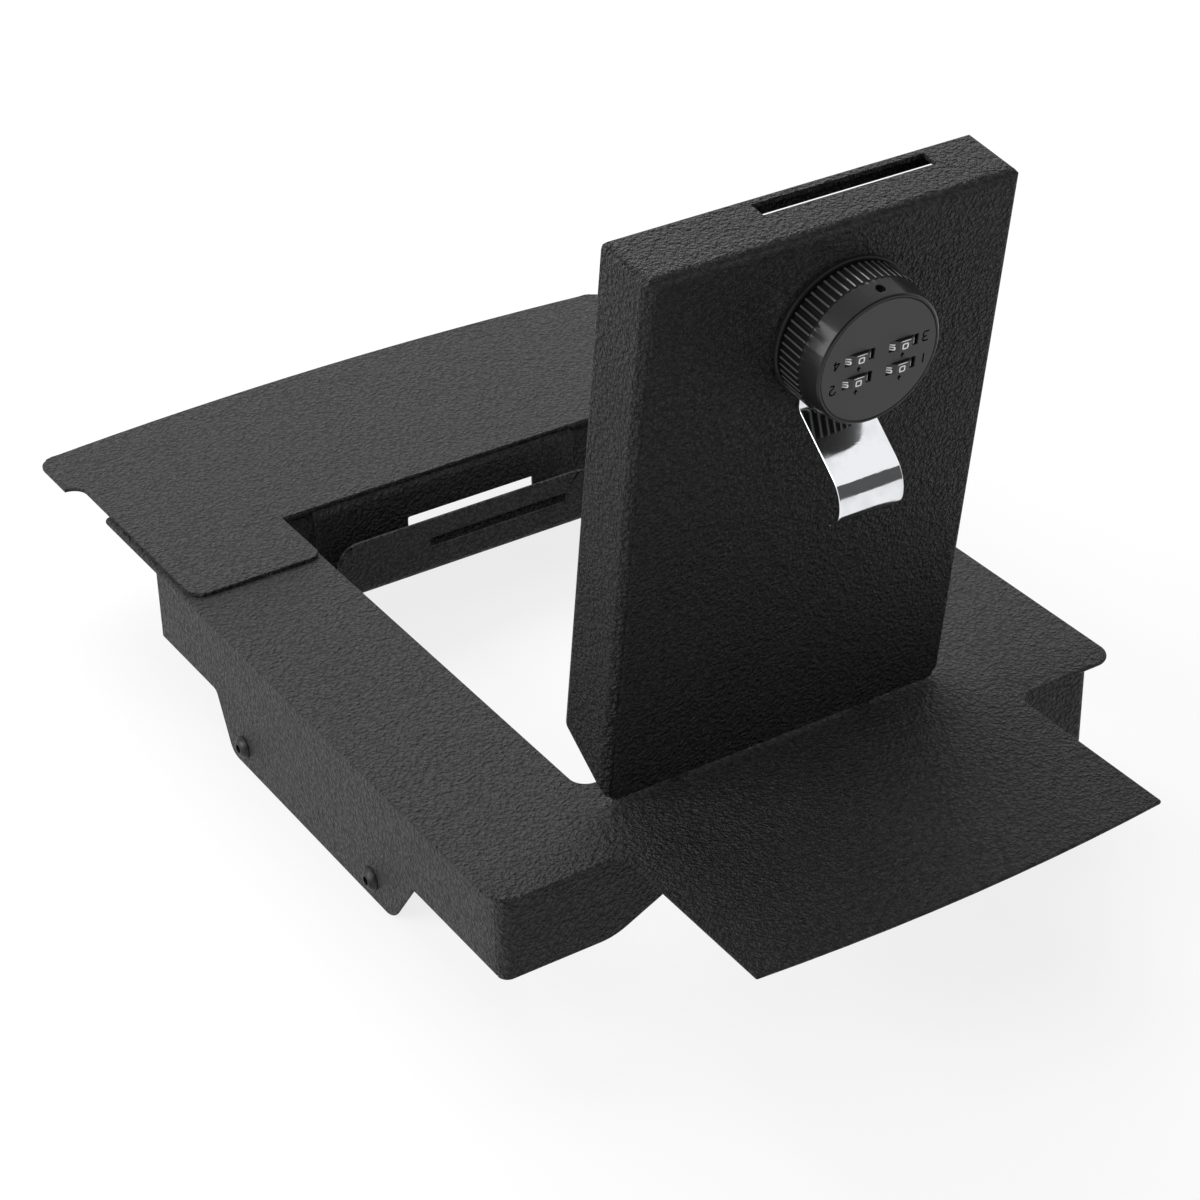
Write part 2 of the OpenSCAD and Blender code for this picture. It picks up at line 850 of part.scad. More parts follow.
// cross section of the pan, or of its hollow when inset by one sheet
module lid_across(inset, r) {
    side = lid_half - inset;
    low = -lid_depth + inset;
    difference() {
        slab(-side, side, low, -inset);
        nick(-side, -inset, 1, -1, r);
        nick(side, -inset, -1, -1, r);
        nick(-side, low, 1, 1, r);
        nick(side, low, -1, 1, r);
    }
}

// long section of the pan, or of its hollow
module lid_along(inset, r, front) {
    back = lid_y1 - inset;
    low = -lid_depth + inset;
    difference() {
        slab(front, back, low, -inset);
        nick(back, -inset, -1, -1, r);
        nick(back, low, -1, 1, r);
    }
}

// outline of the pan from above, or of its hollow
module lid_plan(inset, r, front) {
    side = lid_half - inset;
    back = lid_y1 - inset;
    difference() {
        slab(-side, side, front, back);
        nick(-side, back, 1, -1, r);
        nick(side, back, -1, -1, r);
    }
}

module lid_shell() {
    wall_slope = [wall_start_top - wall_start_mouth, lid_depth - sheet];
    color("dimgray")
        lid_frame()
            difference() {
                intersection() {
                    run_y(lid_y0, lid_y1)
                        lid_across(0, fold_out);
                    run_x(-lid_half, lid_half)
                        lid_along(0, fold_out, lid_y0);
                    run_z(-lid_depth, 0)
                        lid_plan(0, fold_out, lid_y0);
                }
                intersection() {
                    run_y(lid_y0 - over, lid_y1 - sheet)
                        lid_across(sheet, fold_in);
                    run_x(-lid_half, lid_half)
                        lid_along(sheet, fold_in, lid_y0 - over);
                    run_z(-lid_depth, 0)
                        lid_plan(sheet, fold_in, lid_y0 - over);
                }
                run_z(-lid_depth - over, -lid_depth + sheet + over)
                    slab(-lid_half + lid_return, lid_half - lid_return,
                        lid_y0 - over, lid_y1 - lid_return);
                run_x(-lid_half - over, lid_half + over) {
                    polygon([[lid_y0 - over, -sheet], [lid_y0 + wall_start_top, -sheet],
                        [lid_y0 + wall_start_mouth, -lid_depth],
                        [lid_y0 + wall_start_mouth, -lid_depth - over],
                        [lid_y0 - over, -lid_depth - over]]);
                    sliver([lid_y0 + wall_start_mouth, -lid_depth], [1, 0],
                        wall_slope, wall_round);
                }
                run_z(-lid_depth - over, over) {
                    nick(-lid_half, lid_y0, 1, 1, lid_corner);
                    nick(lid_half, lid_y0, -1, 1, lid_corner);
                }
                run_y(lid_y1 - sheet - over, lid_y1 + over)
                    slab(-slot_left, end_slot_right, cam_mid - end_slot_height / 2,
                        cam_mid + end_slot_height / 2);
                run_z(-sheet - over, over)
                    translate([knob_x, knob_y])
                        circle(r = barrel_r + running);
            }
}

// side view of a goose-neck arm
module arm_profile() {
    foot_y0 = lid_y0 + arm_foot_start;
    foot_y1 = lid_y0 + arm_foot_end;
    foot_z = -sheet - arm_foot_depth;
    difference() {
        union() {
            translate([pivot[1], pivot[2]])
                circle(r = eye_r);
            slab(pivot[1], foot_y0 + over, pivot[2] - neck_half, pivot[2] + neck_half);
            slab(foot_y0, foot_y1, foot_z, -sheet);
        }
        nick(foot_y1, foot_z, -1, 1, arm_foot_round);
        translate([pivot[1], pivot[2]])
            circle(r = pin_r + running);
    }
}

module hinge_arm_left() {
    color("gray")
        lid_frame()
            run_x(-hinge_x - arm_thick / 2, -hinge_x + arm_thick / 2)
                arm_profile();
}

module hinge_arm_right() {
    color("gray")
        lid_frame()
            run_x(hinge_x - arm_thick / 2, hinge_x + arm_thick / 2)
                arm_profile();
}

// side view of the pull: base, rise, grip and curl, measured from the knob's axis
module pull_profile() {
    half = pull_thick / 2;
    root = pull_root - knob_y;
    grip_end = pull_grip_end - knob_y;
    run = [-cos(pull_slope), sin(pull_slope)];
    side = [-sin(pull_slope), -cos(pull_slope)];
    c1 = [root, half + pull_bend_1];
    p1 = c1 + pull_bend_1 * side;
    c2_z = pull_height - pull_bend_2;
    p2_z = c2_z - pull_bend_2 * side[1];
    p2 = p1 + run * ((p2_z - p1[1]) / run[1]);
    c2 = p2 + pull_bend_2 * side;
    slab(root, 0, 0, pull_thick);
    bend(c1, pull_bend_1 - half, pull_bend_1 + half, -quarter - pull_slope, -quarter);
    polygon([p1 - half * side, p2 - half * side, p2 + half * side, p1 + half * side]);
    bend(c2, pull_bend_2 - half, pull_bend_2 + half, quarter - pull_slope, quarter);
    slab(grip_end, c2[0], pull_height - half, pull_height + half);
    bend([grip_end, pull_height - pull_curl], pull_curl - half, pull_curl + half,
        quarter, quarter + pull_curl_angle);
}

module pull() {
    tip = pull_grip_end - knob_y - (pull_curl + pull_thick / 2) * sin(pull_curl_angle);
    color("gainsboro")
        knob_frame()
            difference() {
                union() {
                    run_x(-pull_width / 2, pull_width / 2)
                        pull_profile();
                    cylinder(r = pull_base_r, h = pull_thick);
                }
                translate([0, 0, -over])
                    cylinder(r = barrel_r + running, h = pull_thick + 2 * over);
                translate([0, tip + pull_hollow - pull_hollow_r, pull_height / 2])
                    cylinder(r = pull_hollow_r, h = pull_height);
            }
}

module lock_collar() {
    top_z = collar_height;
    color("dimgray")
        knob_frame()
            translate([0, 0, pull_thick])
                rotate_extrude()
                    polygon([[barrel_r + running, 0], [collar_r, 0],
                        [collar_r, top_z - collar_bevel], [collar_r - collar_bevel, top_z],
                        [barrel_flange_r + running, top_z],
                        [barrel_flange_r + running, top_z - barrel_flange],
                        [barrel_r + running, top_z - barrel_flange]]);
}

module lock_barrel() {
    color("silver")
        knob_frame()
            rotate_extrude()
                polygon([[spindle_r + running, -barrel_drop], [barrel_r, -barrel_drop],
                    [barrel_r, collar_top - barrel_flange],
                    [barrel_flange_r, collar_top - barrel_flange],
                    [barrel_flange_r, collar_top], [spindle_r + running, collar_top]]);
}

module lock_washer() {
    color("silver")
        knob_frame()
            ring(-sheet - lock_washer_thick, -sheet, lock_washer_r, barrel_r + running);
}

module lock_nut() {
    top_z = -sheet - lock_washer_thick;
    color("silver")
        knob_frame()
            difference() {
                translate([0, 0, top_z - lock_nut_height])
                    cylinder(r = lock_nut_r, h = lock_nut_height, $fn = hex);
                translate([0, 0, top_z - lock_nut_height - over])
                    cylinder(r = barrel_r + running, h = lock_nut_height + 2 * over);
            }
}

// ---- knob ----

// the flutes round the knob, cut straight down its sides
module fluted_outline() {
    difference() {
        circle(r = knob_r);
        for (i = [0 : flute_count - 1])
            rotate(i * 4 * quarter / flute_count)
                translate([knob_r - flute_depth + flute_r, 0])
                    circle(r = flute_r, $fn = 24);
    }
}

module knob_shell() {
    color("dimgray")
        knob_frame()
            difference() {
                union() {
                    run_z(knob_base + knob_rim, flute_top)
                        fluted_outline();
                    rotate_extrude()
                        polygon([[0, knob_base], [knob_band_r - knob_rim, knob_base],
                            [knob_band_r, knob_base + knob_rim], [knob_band_r, flute_top],
                            [knob_face_r, knob_top], [0, knob_top]]);
                }
                translate([0, 0, floor_top])
                    cylinder(r = hollow_r, h = knob_top - floor_top + over);
                translate([0, 0, face_under])
                    cylinder(r = face_r + running, h = face_thick + over);
                translate([0, 0, knob_base - over])
                    cylinder(r = spigot_r + running, h = knob_floor + 2 * over);
                bar_y(0, 0, knob_r + over, set_screw_height, set_screw_r + running);
            }
}

module knob_face() {
    color("dimgray")
        knob_frame()
            run_z(face_under, knob_top)
                difference() {
                    circle(r = face_r);
                    translate([wheel_mid_x, -wheel_mid_y])
                        for (x = [-wheel_x, wheel_x])
                            for (y = [-wheel_y, wheel_y])
                                slab(x - window_length / 2, x + window_length / 2,
                                    y - window_width / 2, y + window_width / 2);
                }
}

module wheel_cradle() {
    pocket_half = wheel_thick / 2 + cradle_gap;
    color("gray")
        wheel_frame()
            difference() {
                run_z(floor_top, face_under)
                    difference() {
                        slab(-cradle_side, cradle_side, -cradle_half, cradle_half);
                        for (y = [-wheel_y, wheel_y])
                            slab(-cradle_side + cradle_bar, cradle_side - cradle_bar,
                                y - pocket_half, y + pocket_half);
                    }
                for (x = [-wheel_x, wheel_x])
                    bar_y(x, -cradle_half - over, cradle_half + over, wheel_z, axle_r + running);
            }
}

module wheel_axle(x) {
    wheel_frame()
        bar_y(x, -cradle_half, cradle_half, wheel_z, axle_r);
}

module wheel_axle_left() {
    color("silver")
        wheel_axle(-wheel_x);
}

module wheel_axle_right() {
    color("silver")
        wheel_axle(wheel_x);
}

// a ten-sided wheel with one face standing out of its window
module digit_wheel(x, y) {
    wheel_frame()
        difference() {
            translate([x, y + wheel_thick / 2, wheel_z])
                rotate([quarter, 0, 0])
                    cylinder(r = wheel_r, h = wheel_thick, $fn = ten);
            bar_y(x, y - wheel_thick / 2 - over, y + wheel_thick / 2 + over,
                wheel_z, axle_r + running);
        }
}

module digit_wheel_1() {
    color("black")
        digit_wheel(wheel_x, -wheel_y);
}

module digit_wheel_2() {
    color("black")
        digit_wheel(-wheel_x, -wheel_y);
}

module digit_wheel_3() {
    color("black")
        digit_wheel(wheel_x, wheel_y);
}

module digit_wheel_4() {
    color("black")
        digit_wheel(-wheel_x, wheel_y);
}

module spindle() {
    square_half = cam_square / 2;
    color("silver")
        knob_frame()
            difference() {
                union() {
                    translate([0, 0, -cam_drop])
                        cylinder(r = spindle_r, h = cam_drop + knob_base);
                    translate([0, 0, knob_base - over])
                        cylinder(r = spigot_r, h = knob_floor + over);
                    run_z(-cam_drop - cam_thick, -cam_drop + over)
                        slab(-square_half, square_half, -square_half, square_half);
                }
                translate([0, 0, -cam_drop - cam_thick - over])
                    cylinder(r = cam_bolt_r + running, h = cam_bolt_length + over);
            }
}

module cam() {
    hole_half = cam_square / 2 + running;
    color("silver")
        knob_frame()
            run_z(-cam_drop - cam_thick, -cam_drop)
                difference() {
                    union() {
                        circle(r = cam_width / 2);
                        slab(0, cam_reach, -cam_width / 2, cam_width / 2);
                    }
                    nick(cam_reach, -cam_width / 2, -1, 1, cam_round);
                    nick(cam_reach, cam_width / 2, -1, -1, cam_round);
                    slab(-hole_half, hole_half, -hole_half, hole_half);
                }
}

module cam_washer() {
    color("silver")
        knob_frame()
            ring(-cam_drop - cam_thick - cam_washer_thick, -cam_drop - cam_thick,
                cam_washer_r, cam_bolt_r + running);
}

module cam_bolt() {
    seat = -cam_drop - cam_thick - cam_washer_thick;
    color("gainsboro")
        knob_frame()
            difference() {
                union() {
                    translate([0, 0, seat - cam_bolt_head])
                        cylinder(r = cam_bolt_head_r, h = cam_bolt_head);
                    translate([0, 0, seat - over])
                        cylinder(r = cam_bolt_r, h = cam_bolt_length + over);
                }
                translate([0, 0, seat - cam_bolt_head - over])
                    cylinder(r = socket_r, h = socket_depth + over, $fn = hex);
            }
}

// a headless screw sunk in the band, on the side away from the hinge
module set_screw() {
    slope_share = (knob_top - set_screw_height) / (knob_top - flute_top);
    surface = knob_face_r + (knob_band_r - knob_face_r) * slope_share;
    color("gainsboro")
        knob_frame()
            difference() {
                bar_y(0, hollow_r, surface - set_screw_sink, set_screw_height, set_screw_r);
                translate([0, surface - set_screw_sink + over, set_screw_height])
                    rotate([quarter, 0, 0])
                        cylinder(r = set_screw_r / 2, h = set_screw_sink + over, $fn = hex);
            }
}

top_plate();
left_skirt();
front_skirt();
right_skirt();
rear_cover();
latch_channel();
hinge_bracket_left();
hinge_bracket_right();
hinge_pin_left();
hinge_pin_right();
hinge_pin_clips();
side_screws();
side_nuts();
lid_shell();
hinge_arm_left();
hinge_arm_right();
pull();
lock_collar();
lock_barrel();
lock_washer();
lock_nut();
knob_shell();
knob_face();
wheel_cradle();
wheel_axle_left();
wheel_axle_right();
spindle();
cam();
cam_washer();
cam_bolt();
set_screw();
digit_wheel_1();
digit_wheel_2();
digit_wheel_3();
digit_wheel_4();
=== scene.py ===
# %% [markdown]
# # Dressing a console safe
# The safe is folded from steel sheet and coated with a coarse wrinkled paint. Its solids
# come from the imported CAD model, so this lesson adds what the solids leave out: the soft
# edges of coated sheet, the screw threads, the numbers on the wheels, the weld beads and
# the finish of every surface. Everything is in metres, in the CAD model's own frame.

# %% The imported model
import json
import math
import bmesh
import bpy
from mathutils import Matrix, Vector


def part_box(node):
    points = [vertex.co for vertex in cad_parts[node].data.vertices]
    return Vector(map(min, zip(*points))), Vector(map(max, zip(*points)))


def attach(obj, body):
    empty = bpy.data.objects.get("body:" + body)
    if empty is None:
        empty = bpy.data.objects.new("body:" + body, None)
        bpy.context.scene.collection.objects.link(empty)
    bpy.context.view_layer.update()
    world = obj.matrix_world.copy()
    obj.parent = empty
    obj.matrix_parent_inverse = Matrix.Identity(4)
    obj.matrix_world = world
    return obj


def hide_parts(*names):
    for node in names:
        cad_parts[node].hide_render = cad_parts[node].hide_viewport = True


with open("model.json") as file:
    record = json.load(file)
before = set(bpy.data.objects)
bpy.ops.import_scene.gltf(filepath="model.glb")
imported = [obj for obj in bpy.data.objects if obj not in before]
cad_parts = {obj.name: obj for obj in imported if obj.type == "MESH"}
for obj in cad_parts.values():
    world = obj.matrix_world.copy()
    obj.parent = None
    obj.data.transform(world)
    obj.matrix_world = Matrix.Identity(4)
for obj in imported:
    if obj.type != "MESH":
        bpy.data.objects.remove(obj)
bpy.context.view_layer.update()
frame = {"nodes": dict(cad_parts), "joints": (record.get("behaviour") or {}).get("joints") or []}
nodes = frame["nodes"]
MM = 0.001

# %% [markdown]
# The camera stands where the photograph was taken from. Its place, turn and focal length
# were found by fitting the straight edges of plate, skirts and lid, so they are written
# down here as numbers rather than aimed by eye.

# %% The camera
CAMERA_PLACE = Vector((-0.64912, -1.02821, 0.83493))
YAW, PITCH, ROLL = 0.562354, 0.562503, -0.019662
FOCAL_PIXELS, PHOTO_PIXELS, SENSOR_MM = 3092.84, 1200, 36.0


def camera_axes(yaw, pitch, roll):
    """Right, up and backward directions of a camera turned from +Y."""
    level_share = math.cos(pitch)
    ahead = Vector((math.sin(yaw) * level_share, math.cos(yaw) * level_share, -math.sin(pitch)))
    level = Vector((math.cos(yaw), -math.sin(yaw), 0))
    rise = level.cross(ahead)
    right = math.cos(roll) * level + math.sin(roll) * rise
    up = math.cos(roll) * rise - math.sin(roll) * level
    return right, up, -ahead


lens = bpy.data.cameras.new("photo_lens")
lens.sensor_width = SENSOR_MM
lens.lens = SENSOR_MM * FOCAL_PIXELS / PHOTO_PIXELS
lens.clip_start, lens.clip_end = 0.05, 30
camera = bpy.data.objects.new("photo_camera", lens)
turn = Matrix(camera_axes(YAW, PITCH, ROLL)).transposed()
camera.matrix_world = Matrix.Translation(CAMERA_PLACE) @ turn.to_4x4()
bpy.context.scene.collection.objects.link(camera)
bpy.context.scene.camera = camera
print("focal length", round(lens.lens, 2), "mm")

# %% [markdown]
# Shader nodes are long-winded to wire by hand. This small class wraps a node's socket, so
# that maths on it reads like maths. Each operator adds one Math node; `node()` adds any
# other kind, sets its settings first, and then its sockets, by name or by number.


# %% Shader maths in plain expressions
class Wire:
    """One output socket of a shader node, ready to be used in an expression."""

    def __init__(self, tree, out):
        self.tree, self.out = tree, out

    def math(self, operation, *others):
        values = dict(enumerate((self,) + others))
        return node(self.tree, "ShaderNodeMath", {"operation": operation}, values)

    def __add__(self, other):
        return self.math("ADD", other)

    def __sub__(self, other):
        return self.math("SUBTRACT", other)

    def __mul__(self, other):
        return self.math("MULTIPLY", other)

    def __rsub__(self, other):
        minus = self.math("MULTIPLY", -1.0)
        return minus.math("ADD", other)

    __radd__ = __add__
    __rmul__ = __mul__

    def clamp(self):
        held = self.math("MULTIPLY", 1.0)
        held.out.node.use_clamp = True
        return held


def pick(sockets, key):
    """A socket by its number, its identifier or its name."""
    if isinstance(key, int):
        return sockets[key]
    return next(s for s in sockets if key == s.identifier or (key == s.name and s.enabled))


def node(tree, kind, settings, sockets, output=0):
    """Adds a node: its settings first, then the values or links of its sockets."""
    made = tree.nodes.new(kind)
    for name, value in settings.items():
        setattr(made, name, value)
    for key, value in sockets.items():
        socket = pick(made.inputs, key)
        if isinstance(value, Wire):
            tree.links.new(value.out, socket)
        else:
            socket.default_value = value
    return Wire(tree, pick(made.outputs, output))


def finish(name, constants):
    """An empty Principled material with its constant sockets set, and its object coordinates."""
    material = bpy.data.materials.new(name)
    material.use_nodes = True
    tree = material.node_tree
    shader = tree.nodes["Principled BSDF"]
    for socket, value in constants.items():
        shader.inputs[socket].default_value = value
    place = node(tree, "ShaderNodeTexCoord", {}, {}, output="Object")
    return material, tree, shader, place


def feed(tree, shader, **wires):
    """Links wires to the shader's sockets, Base_Color standing for Base Color."""
    for name, wire in wires.items():
        tree.links.new(wire.out, shader.inputs[name.replace("_", " ")])


def noise(place, scale, detail=2.0, rough=0.5, output=0):
    """Cloudy variation from 0 to 1, with its scale in patches per metre."""
    sockets = {"Vector": place, "Scale": scale, "Detail": detail, "Roughness": rough}
    return node(place.tree, "ShaderNodeTexNoise", {}, sockets, output)


def blend_colours(share, low, high):
    """The low colour where the share is 0 and the high one where it is 1."""
    sockets = {"Factor_Float": share, "A_Color": low, "B_Color": high}
    return node(share.tree, "ShaderNodeMix", {"data_type": "RGBA"}, sockets, "Result_Color")


def ramp(value, ends):
    """0 below the first end and 1 above the second."""
    return node(value.tree, "ShaderNodeMapRange", {},
                {"Value": value, "From Min": ends[0], "From Max": ends[1]})


def grey(share):
    """An opaque grey."""
    return share, share, share, 1


def scaled(colour, by):
    """The colour made lighter or darker, still opaque."""
    return tuple(part * by for part in colour[:3]) + (1,)


def bump(height, distance, strength=1.0):
    """A surface that leans as the height says, over a distance in metres."""
    sockets = {"Height": height, "Distance": distance, "Strength": strength}
    return node(height.tree, "ShaderNodeBump", {}, sockets)


print("shader helpers ready")

# %% [markdown]
# The safe is finished in a wrinkle coat: paint that shrinks as it bakes and leaves small
# pebbles about 2 mm across with fine creases between them. Two Voronoi patterns, bent by
# noise so that no cell looks round, give the pebbles, and finer noise gives the grain on
# top. The creases are duller, and they are painted a little darker as painted shade. The
# coat lies thicker on the lid, so the lid's relief is deeper; on the frame it stays thin
# and deepens only towards the apron, which `front_relief` does along Y. Both come from one
# function, because it is one paint put on in two thicknesses. The lid's copy is also a
# little lighter, with darker creases: a lit copy of the same paint, so painted light.


# %% The wrinkle coat
APRON = -0.15, -0.21


def wrinkle_coat(name, pebble, painted_crease_shade, roughness, pebbles_per_metre, relief, front_relief=0.0):
    """Roughness is the coat's mean, relief the bump's depth in metres, and front_relief how
    much deeper it grows along APRON."""
    material, tree, shader, place = finish(name, {"Metallic": 0.0, "Specular IOR Level": 0.24})
    wander = noise(place, pebbles_per_metre * 0.5, 2.0, 0.5, output="Color")
    offset = node(tree, "ShaderNodeVectorMath", {"operation": "MULTIPLY_ADD"},
                  {0: wander, 1: (1.7 / pebbles_per_metre,) * 3, 2: place})
    cells = node(tree, "ShaderNodeTexVoronoi", {"feature": "SMOOTH_F1"},
                 {"Vector": offset, "Scale": pebbles_per_metre, "Smoothness": 0.35}, "Distance")
    small = node(tree, "ShaderNodeTexVoronoi", {"feature": "SMOOTH_F1"},
                 {"Vector": offset, "Scale": pebbles_per_metre * 2.1, "Smoothness": 0.3}, "Distance")
    grain = noise(place, 2600.0, 3.0, 0.6)
    patches = noise(place, 22.0, 3.0, 0.55)
    height = cells * -1.0 + small * -0.5 + grain * 0.25
    if front_relief:
        along = node(tree, "ShaderNodeSeparateXYZ", {}, {"Vector": place}, "Y")
        height = height * (ramp(along, APRON) * front_relief + 1.0)
    depth = ramp(cells + small * 0.5, (0.4, 1.0))
    # Painted shade: the creases take the darker colour.
    shade = blend_colours(depth, pebble, painted_crease_shade)
    worn = blend_colours(patches * 0.35, shade, scaled(pebble, 1.6))
    feed(tree, shader, Base_Color=worn,
         Roughness=(depth * 0.2 + patches * 0.12 + grain * 0.12 + (roughness - 0.14)).clamp(),
         Normal=bump(height, relief))
    return material


coat = wrinkle_coat("wrinkle_coat", (0.027, 0.027, 0.0275, 1), grey(0.006), roughness=0.42,
                    pebbles_per_metre=500.0, relief=0.0020, front_relief=2.2)
# Painted light: the lid's copy is a little lighter, with darker creases, a lit copy of the same
# paint.
lid_coat = wrinkle_coat("coarse_wrinkle_coat", (0.031, 0.031, 0.0315, 1), grey(0.004),
                        roughness=0.36, pebbles_per_metre=560.0, relief=0.0046)
print("coats:", len(coat.node_tree.nodes), "and", len(lid_coat.node_tree.nodes), "nodes")

# %% [markdown]
# The other finishes follow how each piece is made. The knob is turned and blackened: fine
# rings run round its axis, its flutes stay matt and are painted near-black as painted
# shade, and hands polish the ridges between them and the band above; the ridges are
# painted lighter, partly for that wear and partly as a painted highlight. Its face is
# blasted, and the pull is polished chrome, where only faint smudges show. Pins, nuts and
# the cam are zinc plated, with the cloudy spangle that plating leaves, and the screws are
# black oxide. Wheels and cradle are moulded, and the numbers are ink, a little worn; the
# same white ink paints a highlight beside each wheel's 0. Each is one function, so that a
# second shade of it costs one line.

# %% The knob's axis, for patterns that run round it
LID_OPEN = math.radians(98.2)
OUTWARD = Vector((0, -math.sin(LID_OPEN), math.cos(LID_OPEN)))
LATCHWARD = Vector((0, math.cos(LID_OPEN), math.sin(LID_OPEN)))
KNOB_FOOT = Vector(next(j["pos_m"] for j in frame["joints"] if j["name"] == "knob_turn"))
KNOB_FRAME = Matrix((Vector((1, 0, 0)), LATCHWARD, OUTWARD)).transposed().to_4x4()
KNOB_FRAME.translation = KNOB_FOOT
FROM_MM = Matrix.Diagonal((MM, MM, MM, 1))
IN_MM = Matrix.Diagonal((1 / MM, 1 / MM, 1 / MM, 1))
MILLIMETRES = KNOB_FRAME @ FROM_MM
TO_KNOB = IN_MM @ KNOB_FRAME.inverted()
print("knob axis", [round(v, 4) for v in OUTWARD], "from", [round(v, 4) for v in KNOB_FOOT])


def knob_coordinates(tree, place):
    """Object coordinates turned so that Z runs out along the knob's axis."""
    moved = node(tree, "ShaderNodeVectorMath", {"operation": "SUBTRACT"},
                 {0: place, 1: tuple(KNOB_FOOT)})
    return node(tree, "ShaderNodeVectorRotate", {"rotation_type": "X_AXIS"},
                {"Vector": moved, "Angle": -LID_OPEN})


# %% Turned black for the knob and its collar
LAND_RADII, BAND_HEIGHTS = (0.0312, 0.03142), (0.0168, 0.0173)


def turned_black(name, ridge_wear_and_highlight, painted_flute_shade, gloss):
    """Blackened bar: matt in the flutes and painted near-black there as painted shade; polished on
    the ridges between them and on the band over them, the ridges painted lighter for wear and as a
    painted highlight.
    """
    material, tree, shader, place = finish(name, {"Metallic": 0.0, "Specular IOR Level": 0.14,
                                                  "Coat Roughness": 0.14})
    parts = node(tree, "ShaderNodeSeparateXYZ", {}, {"Vector": knob_coordinates(tree, place)})
    x, y, z = (Wire(tree, parts.out.node.outputs[i]) for i in range(3))
    radius = (x * x + y * y).math("SQRT")
    rings = node(tree, "ShaderNodeTexNoise", {"noise_dimensions": "2D"},
                 {"Vector": node(tree, "ShaderNodeCombineXYZ", {}, {"X": radius, "Y": z}),
                  "Scale": 5200.0, "Detail": 2.0})
    smear = noise(place, 120.0, 3.0, 0.6)
    land, band = ramp(radius, LAND_RADII), ramp(z, BAND_HEIGHTS)
    polished = (land + band).clamp()
    body = blend_colours((smear * 0.6).clamp(), (0.008, 0.008, 0.0085, 1),
                         (0.014, 0.014, 0.0145, 1))
    # Painted shade in the flutes; the ridges lighter, for wear and as a painted highlight.
    shade = blend_colours(land, blend_colours(polished, painted_flute_shade, body), ridge_wear_and_highlight)
    feed(tree, shader, Base_Color=shade,
         Roughness=(smear * 0.16 + rings * 0.14 + polished * -0.25 + 0.42).clamp(),
         Coat_Weight=((land + band * 0.35) * gloss).clamp(), Normal=bump(rings, 0.00003, 0.5))
    return material


knob_black = turned_black("satin_black", (0.075, 0.075, 0.077, 1), grey(0.002), gloss=0.9)
collar_black = turned_black("matt_turned_black", grey(0.012), grey(0.009), gloss=0.0)
print("turned:", knob_black.name, "and", collar_black.name)


# %% Bead-blasted plate on the knob's face
def blasted_plate(name):
    material, tree, shader, place = finish(name, {"Metallic": 0.0, "Specular IOR Level": 0.5})
    grit = noise(place, 3800.0, 2.0, 0.6)
    cloud = noise(place, 90.0, 3.0, 0.5)
    feed(tree, shader,
         Base_Color=blend_colours(cloud, (0.026, 0.026, 0.027, 1), (0.040, 0.040, 0.041, 1)),
         Roughness=cloud * 0.14 + 0.46, Normal=bump(grit, 0.00005, 0.4))
    return material


knob_plate = blasted_plate("blasted_face")
print("blasted:", knob_plate.name)


# %% Chrome with faint smudges
def smudged_chrome(name):
    material, tree, shader, place = finish(name, {"Metallic": 1.0})
    smudge = noise(place, 65.0, 4.0, 0.6)
    across = node(tree, "ShaderNodeMapping", {}, {"Vector": place, "Scale": (1.0, 9.0, 9.0)})
    hair = node(tree, "ShaderNodeTexNoise", {}, {"Vector": across, "Scale": 190.0, "Detail": 3.0})
    spots = ramp(smudge, (0.5, 0.8))
    feed(tree, shader,
         Base_Color=blend_colours(spots, (0.84, 0.85, 0.87, 1), (0.70, 0.71, 0.73, 1)),
         Roughness=(spots * 0.12 + hair * 0.05 + 0.03).clamp(), Normal=bump(hair, 0.00004, 0.25))
    return material


chrome = smudged_chrome("polished_chrome")
print("polished:", chrome.name)


# %% Zinc plate and black oxide
def plated_steel(name, bright, dull, roughness, scale):
    material, tree, shader, place = finish(name, {"Metallic": 1.0})
    spangle = node(tree, "ShaderNodeTexVoronoi", {"feature": "F1"},
                   {"Vector": place, "Scale": scale}, "Color")
    cloud = noise(place, scale * 0.4, 3.0, 0.6)
    scratch = noise(place, scale * 9.0, 2.0, 0.5)
    share = node(tree, "ShaderNodeRGBToBW", {}, {"Color": spangle}) * 0.5 + cloud * 0.6
    feed(tree, shader, Base_Color=blend_colours(share.clamp(), bright, dull),
         Roughness=(cloud * 0.22 + scratch * 0.12 + roughness).clamp(),
         Normal=bump(scratch, 0.00004, 0.4))
    return material


zinc = plated_steel("zinc_plate", (0.62, 0.62, 0.60, 1), (0.42, 0.43, 0.43, 1), 0.22, 300.0)
oxide = plated_steel("black_oxide", (0.055, 0.055, 0.058, 1), (0.02, 0.02, 0.021, 1), 0.30, 700.0)
print("plated:", zinc.name, "and", oxide.name)


# %% Moulded black for the wheels and cradle
def moulded_black(name, colour, roughness):
    material, tree, shader, place = finish(name, {"Metallic": 0.0, "Specular IOR Level": 0.5})
    flow = noise(place, 240.0, 3.0, 0.5)
    pores = noise(place, 5200.0, 2.0, 0.5)
    feed(tree, shader,
         Base_Color=blend_colours(flow, colour, scaled(colour, 1.8)),
         Roughness=(flow * 0.18 + roughness).clamp(), Normal=bump(pores, 0.00003, 0.4))
    return material


wheel_black = moulded_black("black_moulding", grey(0.014), 0.30)
cradle_black = moulded_black("matt_black_moulding", (0.022, 0.022, 0.023, 1), 0.48)
print("moulded:", wheel_black.name, "and", cradle_black.name)


